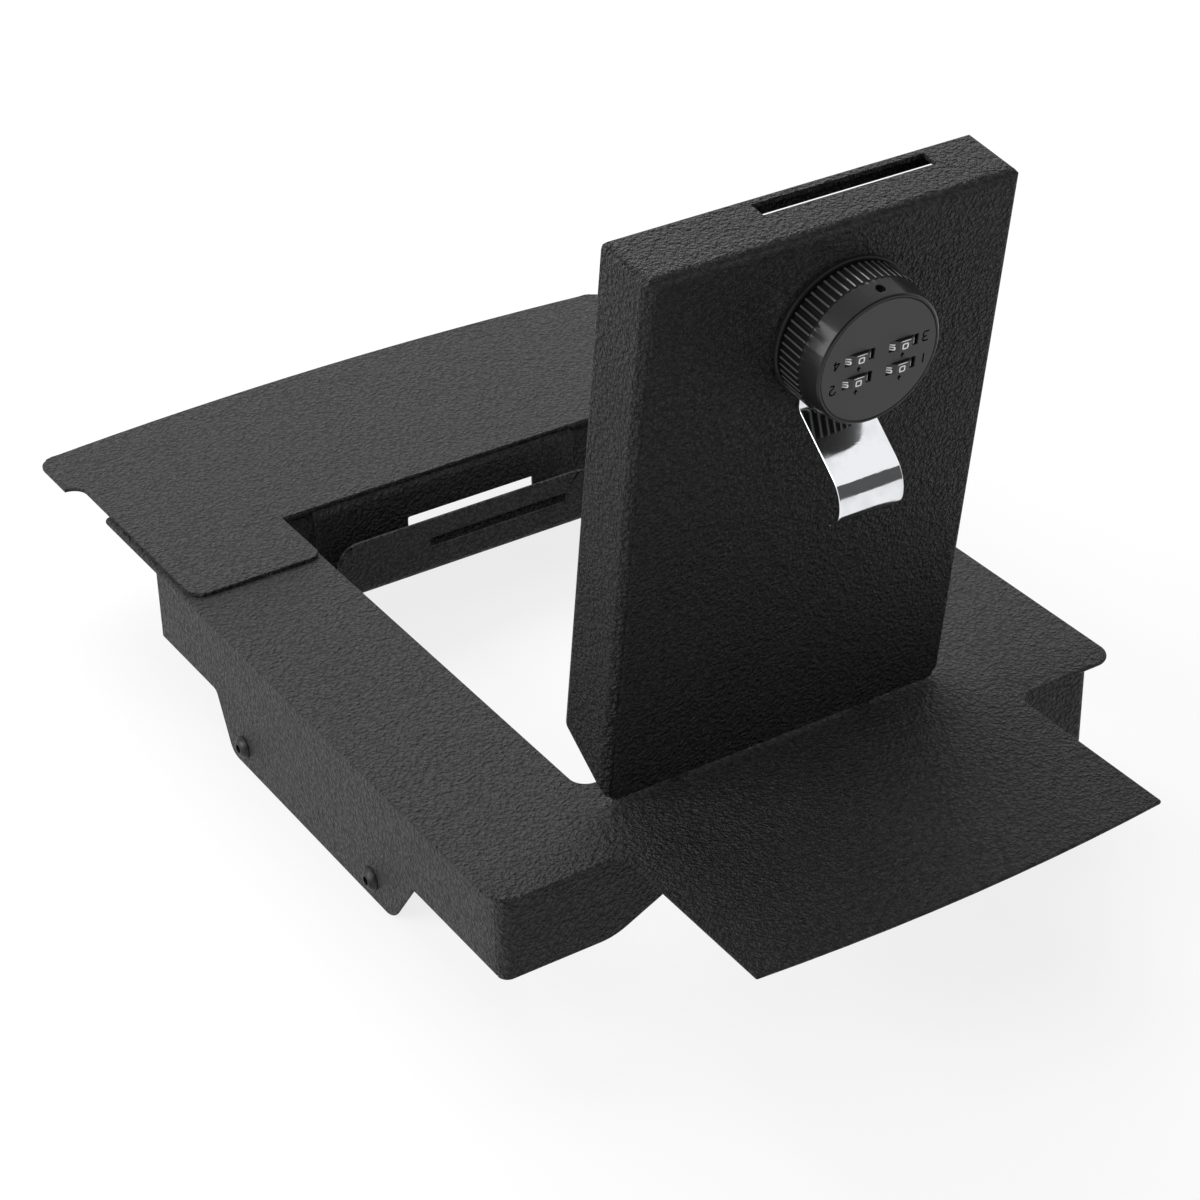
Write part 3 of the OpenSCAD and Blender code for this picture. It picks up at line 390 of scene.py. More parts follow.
# %% Ink for the numbers
def ink(name, colour, roughness, gloss):
    material, tree, shader, place = finish(name, {"Metallic": 0.0, "Specular IOR Level": gloss})
    wear = noise(place, 900.0, 3.0, 0.6)
    feed(tree, shader,
         Base_Color=blend_colours((wear * 0.5).clamp(), colour, scaled(colour, 0.8)),
         Roughness=(wear * 0.2 + roughness).clamp())
    return material


# The same white also paints the highlight beside each wheel's 0.
white_ink_and_glint = ink("white_ink_and_glint", (0.95, 0.95, 0.94, 1), 0.40, 0.5)
black_ink = ink("black_ink", grey(0.003), 0.6, 0.02)
print("finishes:", sorted(m.name for m in bpy.data.materials if m.users == 0))

# %% [markdown]
# A CAD solid has knife edges, and thick coating never does. Each coated piece is therefore
# a copy of its CAD node: the loose triangles are merged, flat facets dissolved back into
# whole faces, and a small bevel rounds every sharp edge. The copy replaces the node, and
# because a bevel only cuts material away, the piece stays inside the CAD's box. A bevel that
# is too wide for one tight corner folds the faces there, and one that is held back by that
# corner rounds nothing. `rounded_edges()` therefore tries widths from wide to narrow, and
# `fault()` measures each: a folded face is drawn with more or less area than it has.


# %% Coated copies of the sheet pieces
def link(name, mesh, material, body):
    """A finished piece: one object at the origin that rides on a body."""
    mesh.materials.clear()
    mesh.materials.append(material)
    piece = bpy.data.objects.new(name, mesh)
    bpy.context.scene.collection.objects.link(piece)
    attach(piece, body)
    return piece


def stand_in(node_name, piece_name, mesh, material, body):
    """A finished piece that takes the place of a CAD node."""
    piece = link(piece_name, mesh, material, body)
    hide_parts(node_name)
    return piece


def mesh_from(form, name):
    """The finished bmesh as a plain mesh."""
    mesh = bpy.data.meshes.new(name)
    form.to_mesh(mesh)
    form.free()
    return mesh


def settle(piece_mesh, modifiers):
    """Applies modifiers to a mesh through a passing object and returns the plain result."""
    carrier = bpy.data.objects.new("carrier", piece_mesh)
    bpy.context.scene.collection.objects.link(carrier)
    for kind, settings in modifiers:
        modifier = carrier.modifiers.new(kind.lower(), kind)
        for name, value in settings.items():
            setattr(modifier, name, value)
    graph = bpy.context.evaluated_depsgraph_get()
    result = bpy.data.meshes.new_from_object(carrier.evaluated_get(graph))
    bpy.data.objects.remove(carrier)
    return result


def merged_copy(node_name, whole=True):
    """The node's mesh with its triangles joined and its flat faces made whole."""
    mesh = nodes[node_name].data.copy()
    form = bmesh.new()
    form.from_mesh(mesh)
    bmesh.ops.remove_doubles(form, verts=form.verts, dist=2e-6)
    if whole:
        bmesh.ops.dissolve_limit(form, angle_limit=math.radians(0.6), verts=form.verts,
                                 edges=form.edges)
    form.to_mesh(mesh)
    form.free()
    return mesh


def sharpened(mesh, angle=35):
    """Smooth shading that stays flat on the large faces and crisp at the sharp edges."""
    for face in mesh.polygons:
        face.use_smooth = True
    mesh.set_sharp_from_angle(angle=math.radians(angle))
    return settle(mesh, [("WEIGHTED_NORMAL", {"keep_sharp": True, "weight": 80})])


def fault(mesh):
    """The share of the surface whose drawn triangles don't match its faces."""
    mesh.calc_loop_triangles()
    drawn = {}
    for triangle in mesh.loop_triangles:
        drawn[triangle.polygon_index] = drawn.get(triangle.polygon_index, 0) + triangle.area
    area = sum(face.area for face in mesh.polygons)
    return sum(abs(drawn.get(face.index, 0) - face.area) for face in mesh.polygons) / area


def rounded_edges(base, width, segments, sharp, allowed):
    """The widest rounding that leaves every face whole, or the base where none does."""
    tries = [(width, False), (width * 0.6, False), (width * 0.35, False), (width, True)]
    for size, clamp in tries:
        mesh = settle(base, [
            ("BEVEL", {"width": size, "segments": segments, "limit_method": "ANGLE",
                       "angle_limit": math.radians(sharp), "use_clamp_overlap": clamp,
                       "miter_outer": "MITER_ARC"})])
        if fault(mesh) < allowed:
            return mesh, size, clamp
    return base, 0.0, False


def soften(node_name, piece_name, width, body, material, segments=2, sharp=32, base=None,
           allowed=0.0004):
    """A copy of a node with rounded edges, or of a base mesh, which takes the node's place."""
    base = base or merged_copy(node_name)
    mesh, size, clamp = rounded_edges(base, width, segments, sharp, allowed)
    piece = stand_in(node_name, piece_name, sharpened(mesh, 40), material, body)
    print(piece.name, len(piece.data.polygons), "faces, edges", round(size * 1000, 2), "mm",
          "clamped" if clamp else "", "fault", round(fault(piece.data) * 1e6), "ppm")
    return piece


def ball_corners(mesh, radius):
    """Pulls in whatever stands outside a box with rounded edges, in knob millimetres."""
    spots = [TO_KNOB @ v.co for v in mesh.vertices]
    low = Vector([min(p[k] for p in spots) + radius for k in range(3)])
    high = Vector([max(p[k] for p in spots) - radius for k in range(3)])
    moved = 0
    for vert, spot in zip(mesh.vertices, spots):
        held = Vector([min(max(spot[k], low[k]), high[k]) for k in range(3)])
        out = spot - held
        if out.length > radius + 0.02 and min(abs(c) for c in out) > 0.05:
            vert.co = TO_KNOB.inverted() @ (held + out * (radius / out.length))
            moved += 1
    print("rounded", moved, "of", len(spots), "points at the lid's corners")
    return mesh


def broken_edges(mesh, chosen, width):
    """Cuts the edges whose two ends are chosen, by their place in knob millimetres."""
    form = bmesh.new()
    form.from_mesh(mesh)
    picked = [edge for edge in form.edges if all(chosen(TO_KNOB @ v.co) for v in edge.verts)]
    bmesh.ops.bevel(form, geom=picked, offset=width, offset_type="OFFSET", segments=1,
                    profile=0.5, affect="EDGES", clamp_overlap=True)
    form.to_mesh(mesh)
    form.free()
    print("broke", len(picked), "edges by", round(width * 1000, 2), "mm")
    return mesh


COATED = {
    "frame": ["top_plate", "left_skirt", "front_skirt", "right_skirt", "rear_cover",
              "latch_channel", "hinge_bracket_left", "hinge_bracket_right"],
    "lid": ["lid_shell", "hinge_arm_left", "hinge_arm_right"],
}
COAT_OF, ROUNDING = {"frame": coat, "lid": lid_coat}, {"frame": 0.0008, "lid": 0.0006}
COVER_ROUNDING, LID_CORNER = 0.0004, 4.5
for body, names in COATED.items():
    for name in names:
        base = merged_copy(name, name != "latch_channel")
        if name == "lid_shell":
            base = ball_corners(base, LID_CORNER)
        width = COVER_ROUNDING if name == "rear_cover" else ROUNDING[body]
        soften(name, name + "_coated", width, body, COAT_OF[body], base=base)

# %% [markdown]
# Beside the latch channel the back edge of the aperture is folded down too, as two short
# tabs that stiffen the corners; relief cuts part them from the channel. They are the same
# sheet as the plate, so they are drawn as bent strips: a quarter bend that leaves the
# plate's edge, then a flat leg. Solidify gives the sheet's thickness to a ruled surface.

# %% Folded tabs at the back corners of the aperture
def folded_tab(low_x, high_x, back_y, top_z, leg, bend, sheet):
    """A sheet that leaves the plate level, turns down round a bend and ends in a leg."""
    form = bmesh.new()
    side = [(back_y + bend, top_z)]
    side += [(back_y + bend - bend * math.sin(t), top_z - bend + bend * math.cos(t))
             for t in [math.pi / 2 * k / 8 for k in range(1, 9)]]
    side.append((back_y, top_z - leg))
    rows = [[form.verts.new((x, y, z)) for y, z in side] for x in (low_x, high_x)]
    for k in range(len(side) - 1):
        form.faces.new((rows[0][k], rows[1][k], rows[1][k + 1], rows[0][k + 1]))
    bmesh.ops.recalc_face_normals(form, faces=form.faces)
    form.normal_update()
    if sum((face.normal.z - face.normal.y) * face.calc_area() for face in form.faces) < 0:
        bmesh.ops.reverse_faces(form, faces=form.faces[:])
    return settle(mesh_from(form, "folded_tab"), [
        ("SOLIDIFY", {"thickness": sheet, "offset": -1.0, "use_even_offset": True}),
        ("BEVEL", {"width": 0.0005, "segments": 2, "limit_method": "ANGLE",
                   "angle_limit": math.radians(50), "use_clamp_overlap": True})])


TAB_INNER, TAB_OUTER, TAB_LEG, TAB_BEND, SHEET = 0.0725, 0.0905, 0.036, 0.003, 0.002
TAB_SEATED, SIDE_EDGE, REAR_HALF = 0.0001, 0.089, 0.16
back_edge = max(v.co.y for v in nodes["top_plate"].data.vertices
                if SIDE_EDGE < abs(v.co.x) < TAB_OUTER and abs(v.co.y) < REAR_HALF)
tab_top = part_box("top_plate")[0].z + TAB_SEATED
for side, ends in (("left", (-TAB_OUTER, -TAB_INNER)), ("right", (TAB_INNER, TAB_OUTER))):
    tab = folded_tab(*ends, back_edge, tab_top, TAB_LEG, TAB_BEND, SHEET)
    link("aperture_tab_" + side, sharpened(tab, 40), coat, "frame")
    print("aperture tab", side, len(tab.polygons), "faces behind y", round(back_edge / MM, 1))

# %% [markdown]
# The knob is cut from bar, so its edges are only broken, not rounded: the flutes keep
# crisp edges that catch the light. A small groove shows between the rim and the face plate
# because both edges there are chamfered, and the band ends in a wider chamfer. Those two
# are picked by their place on the knob and cut first; the copy-and-bevel helper then breaks
# all the other edges, with smaller widths.

# %% Knob, collar and face
FACE_LEVEL, GROOVE_FROM, GROOVE_TO, RIM_FROM = 26.95, 27.2, 27.7, 28.8
GROOVE_CUT, RIM_CUT = 0.0003, 0.0006


def groove_edge(spot):
    """The rim's inner edge and the plate's outer edge, level with the knob's face."""
    return spot.z > FACE_LEVEL and GROOVE_FROM < math.hypot(spot.x, spot.y) < GROOVE_TO


def rim_edge(spot):
    """The edge where the band meets the level of the knob's face."""
    return spot.z > FACE_LEVEL and math.hypot(spot.x, spot.y) > RIM_FROM


GROOVED = {name: broken_edges(merged_copy(name), groove_edge, GROOVE_CUT)
           for name in ("knob_shell", "knob_face")}
GROOVED["knob_shell"] = broken_edges(GROOVED["knob_shell"], rim_edge, RIM_CUT)
EDGED = [("knob_shell", 0.00016, "knob", knob_black, 2),
         ("lock_collar", 0.0003, "lid", collar_black, 2),
         ("knob_face", 0.0002, "knob", knob_plate, 2),
         ("wheel_cradle", 0.0003, "knob", cradle_black, 2),
         ("cam", 0.0005, "knob", zinc, 2),
         ("lock_washer", 0.0002, "lid", zinc, 1),
         ("cam_washer", 0.0002, "knob", zinc, 1)]
for name, width, body, material, steps in EDGED:
    soften(name, name + "_edged", width, body, material, steps,
           base=GROOVED.get(name), allowed=0.0015)

PLAIN = {"hinge_pin_left": zinc, "hinge_pin_right": zinc, "hinge_pin_clips": oxide, "spindle": zinc,
         "wheel_axle_left": zinc, "wheel_axle_right": zinc, "set_screw": oxide}
for name, material in PLAIN.items():
    nodes[name].data.materials.clear()
    nodes[name].data.materials.append(material)
print("kept as they are:", ", ".join(PLAIN))

# %% [markdown]
# What repeats or follows a path is made with Geometry Nodes. A recipe is a node tree with
# named inputs for its sizes. It ends in Realize Instances and Set Material, so that the
# result is one plain mesh. `cook()` sets the inputs by their identifiers, evaluates the
# recipe on a passing object and throws that object away.


# %% Recipes: Geometry Nodes with named inputs
def recipe(name, inputs):
    """A new tree with a Geometry input and the named inputs, and its input wires."""
    tree = bpy.data.node_groups.new(name, "GeometryNodeTree")
    tree.interface.new_socket("Geometry", in_out="OUTPUT", socket_type="NodeSocketGeometry")
    tree.interface.new_socket("Geometry", in_out="INPUT", socket_type="NodeSocketGeometry")
    for label, kind in inputs.items():
        tree.interface.new_socket(label, in_out="INPUT", socket_type="NodeSocket" + kind)
    entry = tree.nodes.new("NodeGroupInput")
    return tree, {s.name: Wire(tree, s) for s in entry.outputs if s.name}


def serve(tree, geometry, material):
    """The last two nodes of a recipe, and its output."""
    whole = node(tree, "GeometryNodeRealizeInstances", {}, {"Geometry": geometry})
    painted = node(tree, "GeometryNodeSetMaterial", {}, {"Geometry": whole, "Material": material})
    smooth = node(tree, "GeometryNodeSetShadeSmooth", {},
                  {"Geometry": painted, "Shade Smooth": True})
    tree.links.new(smooth.out, tree.nodes.new("NodeGroupOutput").inputs[0])


def cook(tree, base, values):
    """Runs a recipe on a mesh or curve and returns the plain mesh."""
    carrier = bpy.data.objects.new("carrier", base)
    bpy.context.scene.collection.objects.link(carrier)
    modifier = carrier.modifiers.new("recipe", "NODES")
    modifier.node_group = tree
    ids = {s.name: s.identifier for s in tree.interface.items_tree if s.in_out == "INPUT"}
    for label, value in values.items():
        modifier[ids[label]] = value
    graph = bpy.context.evaluated_depsgraph_get()
    result = bpy.data.meshes.new_from_object(carrier.evaluated_get(graph))
    carrier.modifiers.remove(modifier)
    bpy.data.objects.remove(carrier)
    return result


print("recipe helpers ready")

# %% [markdown]
# Round metal parts start on a lathe, so they are made the same way here: half an outline
# is spun round the axis. Holes and flats are cut afterwards by an exact boolean with a
# second shape, because that gives clean edges that can then be rounded.


# %% Turned, cut and joined shapes
def turned(outline, steps=48):
    """A half outline of (radius, height) spun into a closed mesh round Z."""
    form = bmesh.new()
    chain = [form.verts.new((radius, 0, height)) for radius, height in outline]
    edges = [form.edges.new(pair) for pair in zip(chain, chain[1:] + chain[:1])]
    bmesh.ops.spin(form, geom=chain + edges, axis=(0, 0, 1), cent=(0, 0, 0),
                   steps=steps, angle=math.tau, use_merge=True)
    bmesh.ops.remove_doubles(form, verts=form.verts, dist=1e-5)
    bmesh.ops.recalc_face_normals(form, faces=form.faces)
    return mesh_from(form, "turned")


def prism(corners, radius, low, high):
    """An upright bar with regular corners, between two heights."""
    form = bmesh.new()
    ring = [(radius * math.cos(math.tau * k / corners), radius * math.sin(math.tau * k / corners))
            for k in range(corners)]
    floor = form.faces.new([form.verts.new((x, y, low)) for x, y in ring][::-1])
    grown = bmesh.ops.extrude_face_region(form, geom=[floor])["geom"]
    bmesh.ops.translate(form, verts=[v for v in grown if isinstance(v, bmesh.types.BMVert)],
                        vec=(0, 0, high - low))
    bmesh.ops.recalc_face_normals(form, faces=form.faces)
    return mesh_from(form, "prism")


def carved(mesh, tool_mesh, operation):
    """The mesh after one exact boolean with a second mesh."""
    tool = bpy.data.objects.new("tool", tool_mesh)
    bpy.context.scene.collection.objects.link(tool)
    tool.hide_render = True
    result = settle(mesh, [
        ("BOOLEAN", {"operation": operation, "solver": "EXACT", "object": tool})])
    bpy.data.objects.remove(tool)
    return result


print("lathe helpers ready")

# %% [markdown]
# The pull is one strip of polished steel, bent twice and curled at its end, with a round
# base that the lock clamps to the lid. A mirror shows every facet, so its bends need many
# steps. The recipe rounds each corner of a plain path by that corner's own radius, and
# sweeps a flat section along it; the base, the bolt hole and the hollow tip follow.

# %% The pull's strip
def ribbon_recipe(name, steps, corner=None):
    """Rounds a path's corners, by a named input or by each point's own radius, and sweeps a
    flat section along it."""
    inputs = {"Width": "Float", "Thickness": "Float", "Finish": "Material"}
    tree, wire = recipe(name, inputs | ({corner: "Float"} if corner else {}))
    bends = wire[corner] if corner else node(tree, "GeometryNodeInputRadius", {}, {})
    rounded = node(tree, "GeometryNodeFilletCurve", {"mode": "POLY"},
                   {"Curve": wire["Geometry"], "Radius": bends, "Count": steps,
                    "Limit Radius": True})
    level = node(tree, "GeometryNodeSetCurveNormal", {"mode": "Z_UP"}, {"Curve": rounded})
    section = node(tree, "GeometryNodeCurvePrimitiveQuadrilateral", {"mode": "RECTANGLE"},
                   {"Width": wire["Width"], "Height": wire["Thickness"]})
    swept = node(tree, "GeometryNodeCurveToMesh", {},
                 {"Curve": level, "Profile Curve": section, "Fill Caps": True})
    serve(tree, swept, wire["Finish"])
    return tree


def plain_path(name, *runs):
    """A curve's data with a straight-sided spline for each run of points, closed where the
    run ends on its first point."""
    path = bpy.data.curves.new(name, "CURVE")
    path.dimensions = "3D"
    for run in runs:
        spline = path.splines.new("POLY")
        spline.use_cyclic_u = run[0] == run[-1]
        places = run[:-1] if spline.use_cyclic_u else run
        spline.points.add(len(places) - 1)
        for point, place in zip(spline.points, places):
            point.co = (*place, 1)
    return path


strip_recipe = ribbon_recipe("bent_strip", 14)
# Along the lid and away from it, in millimetres from the knob's axis, with the bend's radius
PULL_PATH = [((-18.0, 1.0), 0), ((-34.77, 1.0), 5.0), ((-56.2, 34.0), 16.0),
             ((-67.6, 34.0), 7.0), ((-72.4, 29.4), 0)]
PULL_WIDE, PULL_THICK, HOLLOW_DEEP = 31.5, 2.0, 4.0
path = plain_path("pull_path", [(0, along, out) for (along, out), radius in PULL_PATH])
for point, (place, radius) in zip(path.splines[0].points, PULL_PATH):
    point.radius = radius
strip = cook(strip_recipe, path, {"Width": PULL_WIDE, "Thickness": PULL_THICK, "Finish": chrome})
print("strip:", len(strip.polygons), "faces, from y", round(min(v.co.y for v in strip.vertices), 2),
      "to", round(max(v.co.y for v in strip.vertices), 2), "and up to z",
      round(max(v.co.z for v in strip.vertices), 2))

# %% Base, hole and hollow tip
hollow_radius = (PULL_WIDE ** 2 / 4 + HOLLOW_DEEP ** 2) / (2 * HOLLOW_DEEP)
tip = min(v.co.y for v in strip.vertices)
BASE_RADIUS, HOLE_RADIUS = 30, 11.05
base_disc = turned([(0, 0), (BASE_RADIUS, 0), (BASE_RADIUS, PULL_THICK), (0, PULL_THICK)], 96)
hollow = turned([(0, 20), (hollow_radius, 20), (hollow_radius, 40), (0, 40)], 96)
hollow.transform(Matrix.Translation((0, tip + HOLLOW_DEEP - hollow_radius, 0)))
bolt_hole = turned([(0, -1), (HOLE_RADIUS, -1), (HOLE_RADIUS, PULL_THICK + 1),
                    (0, PULL_THICK + 1)], 64)
form = carved(strip, base_disc, "UNION")
for cutter in (hollow, bolt_hole):
    form = carved(form, cutter, "DIFFERENCE")
form.transform(MILLIMETRES)
soften("pull", "bent_pull", 0.0006, "lid", chrome, segments=3, sharp=50,
       base=form, allowed=0.02)

# %% [markdown]
# Each number wheel is a small black moulding with ten flats, one for each digit. It is a
# bevelled copy of its solid. Its place, thickness and apothem (how far a flat lies from the
# axle) are read from the solid, because the numbers are laid on the flats.

# %% The four wheels
WHEELS = range(1, 5)


def wheel_place(number):
    """The middle of a wheel in knob millimetres, its thickness and its apothem."""
    spots = [TO_KNOB @ v.co for v in nodes["digit_wheel_%d" % number].data.vertices]
    spans = [(min(p[k] for p in spots), max(p[k] for p in spots)) for k in range(3)]
    wide, thick = (spans[k][1] - spans[k][0] for k in range(2))
    return Vector([(a + b) / 2 for a, b in spans]), thick, wide / 2 * math.cos(math.pi / 10)


for number in WHEELS:
    middle, thick, apothem = wheel_place(number)
    name = "digit_wheel_%d" % number
    soften(name, name + "_edged", 0.00014, "wheel_%d" % number, wheel_black,
           segments=1, sharp=20)
    print(name, "at", [round(v, 2) for v in middle], "thick", round(thick, 2),
          "apothem", round(apothem, 2))

# %% [markdown]
# The numbers are painted strokes. Each digit is a short path of straight runs in a square
# cell, the squarish style that small counters use. The pull's recipe serves again, here
# with one radius for every corner: it sweeps a flat ribbon along the path, so every number
# has the same stroke.

# %% Painted strokes
DIGITS = {
    "0": [[(-.5, -.5), (.5, -.5), (.5, .5), (-.5, .5), (-.5, -.5)]],
    "1": [[(-.2, .5), (.08, .5), (.08, -.5)]],
    "2": [[(-.5, .5), (.5, .5), (.5, 0), (-.5, 0), (-.5, -.5), (.5, -.5)]],
    "3": [[(-.5, .5), (.5, .5), (.5, -.5), (-.5, -.5)], [(-.3, 0), (.5, 0)]],
    "4": [[(.22, -.5), (.22, .5), (-.5, -.18), (.5, -.18)]],
    "5": [[(.5, .5), (-.5, .5), (-.5, .06), (.5, .06), (.5, -.5), (-.5, -.5)]],
    "6": [[(.5, .5), (-.5, .5), (-.5, -.5), (.5, -.5), (.5, .04), (-.5, .04)]],
    "7": [[(-.5, .5), (.5, .5), (-.1, -.5)]],
    "8": [[(-.5, -.5), (.5, -.5), (.5, .5), (-.5, .5), (-.5, -.5)], [(-.5, 0), (.5, 0)]],
    "9": [[(-.5, -.5), (.5, -.5), (.5, .5), (-.5, .5), (-.5, -.04), (.5, -.04)]],
    "label 1": [[(0, .5), (0, -.5)]],
    "label 2": [[(-.5, .22), (-.32, .5), (.32, .5), (.5, .22), (.4, 0), (-.5, -.5), (.5, -.5)]],
    "label 3": [[(-.45, .5), (.3, .5), (.5, .3), (.35, .03), (-.15, .03)],
                [(.35, .03), (.5, -.25), (.3, -.5), (-.5, -.5)]],
    "label 4": [[(.2, -.5), (.2, .5), (-.5, -.2), (.5, -.2)]],
    "arrow": [[(0, -.5), (0, .45)], [(-.5, 0), (0, .5), (.5, 0)]],
}
stroke_recipe = ribbon_recipe("painted_stroke", 5, "Corner")


def painted(symbol, size, width, corner, thickness, paint):
    """One symbol in millimetres, flat on XY and centred, as a mesh."""
    inner = (size[0] - width, size[1] - width)
    runs = [[(x * inner[0], y * inner[1], 0) for x, y in run] for run in DIGITS[symbol]]
    return cook(stroke_recipe, plain_path("path", *runs),
                {"Width": width, "Thickness": thickness, "Corner": corner, "Finish": paint})


def joined(parts, name):
    """Several (mesh, matrix) pairs as one mesh."""
    form = bmesh.new()
    for mesh, matrix in parts:
        copy = mesh.copy()
        copy.transform(matrix)
        form.from_mesh(copy)
    return mesh_from(form, name)


DIGIT = {"size": (2.95, 2.85), "width": 0.6, "corner": 0.4, "thickness": 0.04, "paint": white_ink_and_glint}
LABEL = {"size": (3.6, 5.0), "width": 0.7, "thickness": 0.03, "paint": black_ink}
ARROW = {"size": (2.2, 2.8), "width": 0.6, "corner": 0.03, "thickness": 0.03, "paint": black_ink}
trial = painted("8", **DIGIT)
spans = [sorted(v.co[k] for v in trial.vertices) for k in range(3)]
print("an 8 has", len(trial.polygons), "faces and measures",
      [round(span[-1] - span[0], 2) for span in spans])

# %% [markdown]
# A person reads the knob from the latch side, with the lid closed, so every number stands
# with its head towards the hinge. The wheel shows 0 in its window, 9 on the next face
# towards the left of the knob and 1 towards the right. A thin white glint beside each 0, at
# the edge towards the latch, is a painted highlight for the light caught at the wheel's
# edge. On the knob's face, each window has a label beside it and an arrow on its side
# towards the hinge.

# %% Numbers on the wheels
def upright(normal, place):
    """A symbol's frame in knob millimetres: its head points towards the hinge."""
    head = Vector((0, -1, 0))
    normal = Vector(normal)
    side = head.cross(normal)
    frame_4 = Matrix((side, head, normal)).transposed().to_4x4()
    frame_4.translation = place
    return MILLIMETRES @ frame_4


LIFT, DIGIT_SHIFT, FLAT_TURN = 0.012, -0.58, 36
GLINT_INSET, GLINT_HALF, GLINT_SHARE = 0.28, 0.2, 0.86
for number in WHEELS:
    middle, thick, apothem = wheel_place(number)
    marks = []
    for digit in range(10):
        turn_by = math.radians(90 - FLAT_TURN * digit)
        normal = Vector((math.cos(turn_by), 0, math.sin(turn_by)))
        spot = middle + Vector((0, DIGIT_SHIFT, 0)) + normal * (apothem + LIFT)
        marks.append((painted(str(digit), **DIGIT), upright(normal, spot)))
    # Painted highlight: a thin white mark beside each 0, at the edge towards the latch.
    half_flat = apothem * math.tan(math.radians(FLAT_TURN / 2))
    line = Matrix.Diagonal((half_flat * GLINT_SHARE, GLINT_HALF, 1, 1))
    seat = upright((0, 0, 1), middle + Vector((0, thick / 2 - GLINT_INSET, apothem + LIFT)))
    marks.append((prism(20, 1, 0, DIGIT["thickness"]), seat @ line))
    link("wheel_numbers_%d" % number, joined(marks, "wheel_numbers_%d" % number),
         white_ink_and_glint, "wheel_%d" % number)
print("numbers on", len(WHEELS), "wheels")

# %% Numbers and arrows on the face plate
LABELS = {"1": (22.2, -6.1), "2": (-21.1, -7.4), "3": (21.9, 4.4), "4": (-20.9, 3.8)}
SOFT_CORNER, CRISP_CORNER, ARROW_DROP, PROUD = 0.6, 0.08, 5.6, 0.01
face_top = max((KNOB_FRAME.inverted() @ v.co).z for v in nodes["knob_face"].data.vertices) / MM
marks = []
for text, (x, y) in LABELS.items():
    label = painted("label " + text, corner=CRISP_CORNER if text == "4" else SOFT_CORNER, **LABEL)
    marks.append((label, upright((0, 0, 1), (x, y, face_top + PROUD))))
for number in WHEELS:
    middle = wheel_place(number)[0]
    seat = upright((0, 0, 1), (middle.x, middle.y - ARROW_DROP, face_top + PROUD))
    marks.append((painted("arrow", **ARROW), seat @ Matrix.Rotation(math.pi, 4, "Z")))
link("face_marks", joined(marks, "face_marks"), black_ink, "knob")
print("face at", round(face_top, 2), "mm with", len(marks), "marks")

# %% [markdown]
# The side screws are button-head socket screws. The head is turned: half its outline is
# spun round the axis, then a hexagon is cut into it. The thread is a recipe: a spiral path
# with a small triangle swept along it, round a plain core. A second recipe sets finished
# screws out on their points and turns each along its own direction.


# %% The thread recipe
thread_recipe, wire = recipe("screw_thread", {
    "Core Radius": "Float", "Crest Radius": "Float", "Pitch": "Float", "Length": "Float",
    "Metal": "Material"})
TOOTH_SHARE = 0.75
depth = wire["Crest Radius"] - wire["Core Radius"]
turns = wire["Length"].math("DIVIDE", wire["Pitch"])
rail_radius = wire["Crest Radius"] - depth * TOOTH_SHARE
spiral = node(thread_recipe, "GeometryNodeCurveSpiral", {},
              {"Resolution": 36, "Rotations": turns, "Start Radius": rail_radius,
               "End Radius": rail_radius, "Height": wire["Length"]})
level = node(thread_recipe, "GeometryNodeSetCurveNormal", {"mode": "Z_UP"}, {"Curve": spiral})
tooth = node(thread_recipe, "GeometryNodeCurvePrimitiveCircle", {"mode": "RADIUS"},
             {"Resolution": 3, "Radius": depth * TOOTH_SHARE})
outward = node(thread_recipe, "GeometryNodeTransform", {},
               {"Geometry": tooth, "Rotation": (0, 0, math.pi)})
swept = node(thread_recipe, "GeometryNodeCurveToMesh", {},
             {"Curve": level, "Profile Curve": outward, "Fill Caps": True})
serve(thread_recipe, swept, wire["Metal"])


def thread(core, crest, pitch, length, metal):
    """A helical ridge from z = 0 up to its length, in millimetres."""
    seed = bpy.data.meshes.new("seed")
    return cook(thread_recipe, seed, {"Core Radius": core, "Crest Radius": crest, "Pitch": pitch,
                                      "Length": length, "Metal": metal})


SCREW_THREAD = {"core": 2.45, "crest": 3.0, "pitch": 1.0, "metal": oxide}
trial = thread(length=15.0, **SCREW_THREAD)
reach = sorted(math.hypot(v.co.x, v.co.y) for v in trial.vertices)
rise = sorted(v.co.z for v in trial.vertices)
print("thread runs from radius", round(reach[0], 2), "to", round(reach[-1], 2),
      "and from z", round(rise[0], 2), "to", round(rise[-1], 2))

# %% [markdown]
# Where the fasteners sit is read from the CAD: each loose solid of a node gives its own
# box. That way screws, nuts and bolt stay exactly on the holes they belong to, whatever
# size the model is built at.


# %% Loose solids of a node
def solids_of(node_name, into=Matrix.Identity(4)):
    """The lowest and highest corner of each loose solid, in millimetres, in another frame."""
    form = bmesh.new()
    form.from_mesh(merged_copy(node_name))
    left, boxes = set(form.verts), []
    while left:
        found, edge = set(), [left.pop()]
        while edge:
            vert = edge.pop()
            found.add(vert)
            near = {e.other_vert(vert) for e in vert.link_edges} & left
            left -= near
            edge.extend(near)
        spots = [into @ v.co / MM for v in found]
        boxes.append((Vector([min(p[k] for p in spots) for k in range(3)]),
                      Vector([max(p[k] for p in spots) for k in range(3)])))
    form.free()
    return sorted(boxes, key=lambda box: tuple(box[0]))


for name in ("side_screws", "side_nuts"):
    print(name, [[round(v, 1) for v in low] for low, high in solids_of(name)])

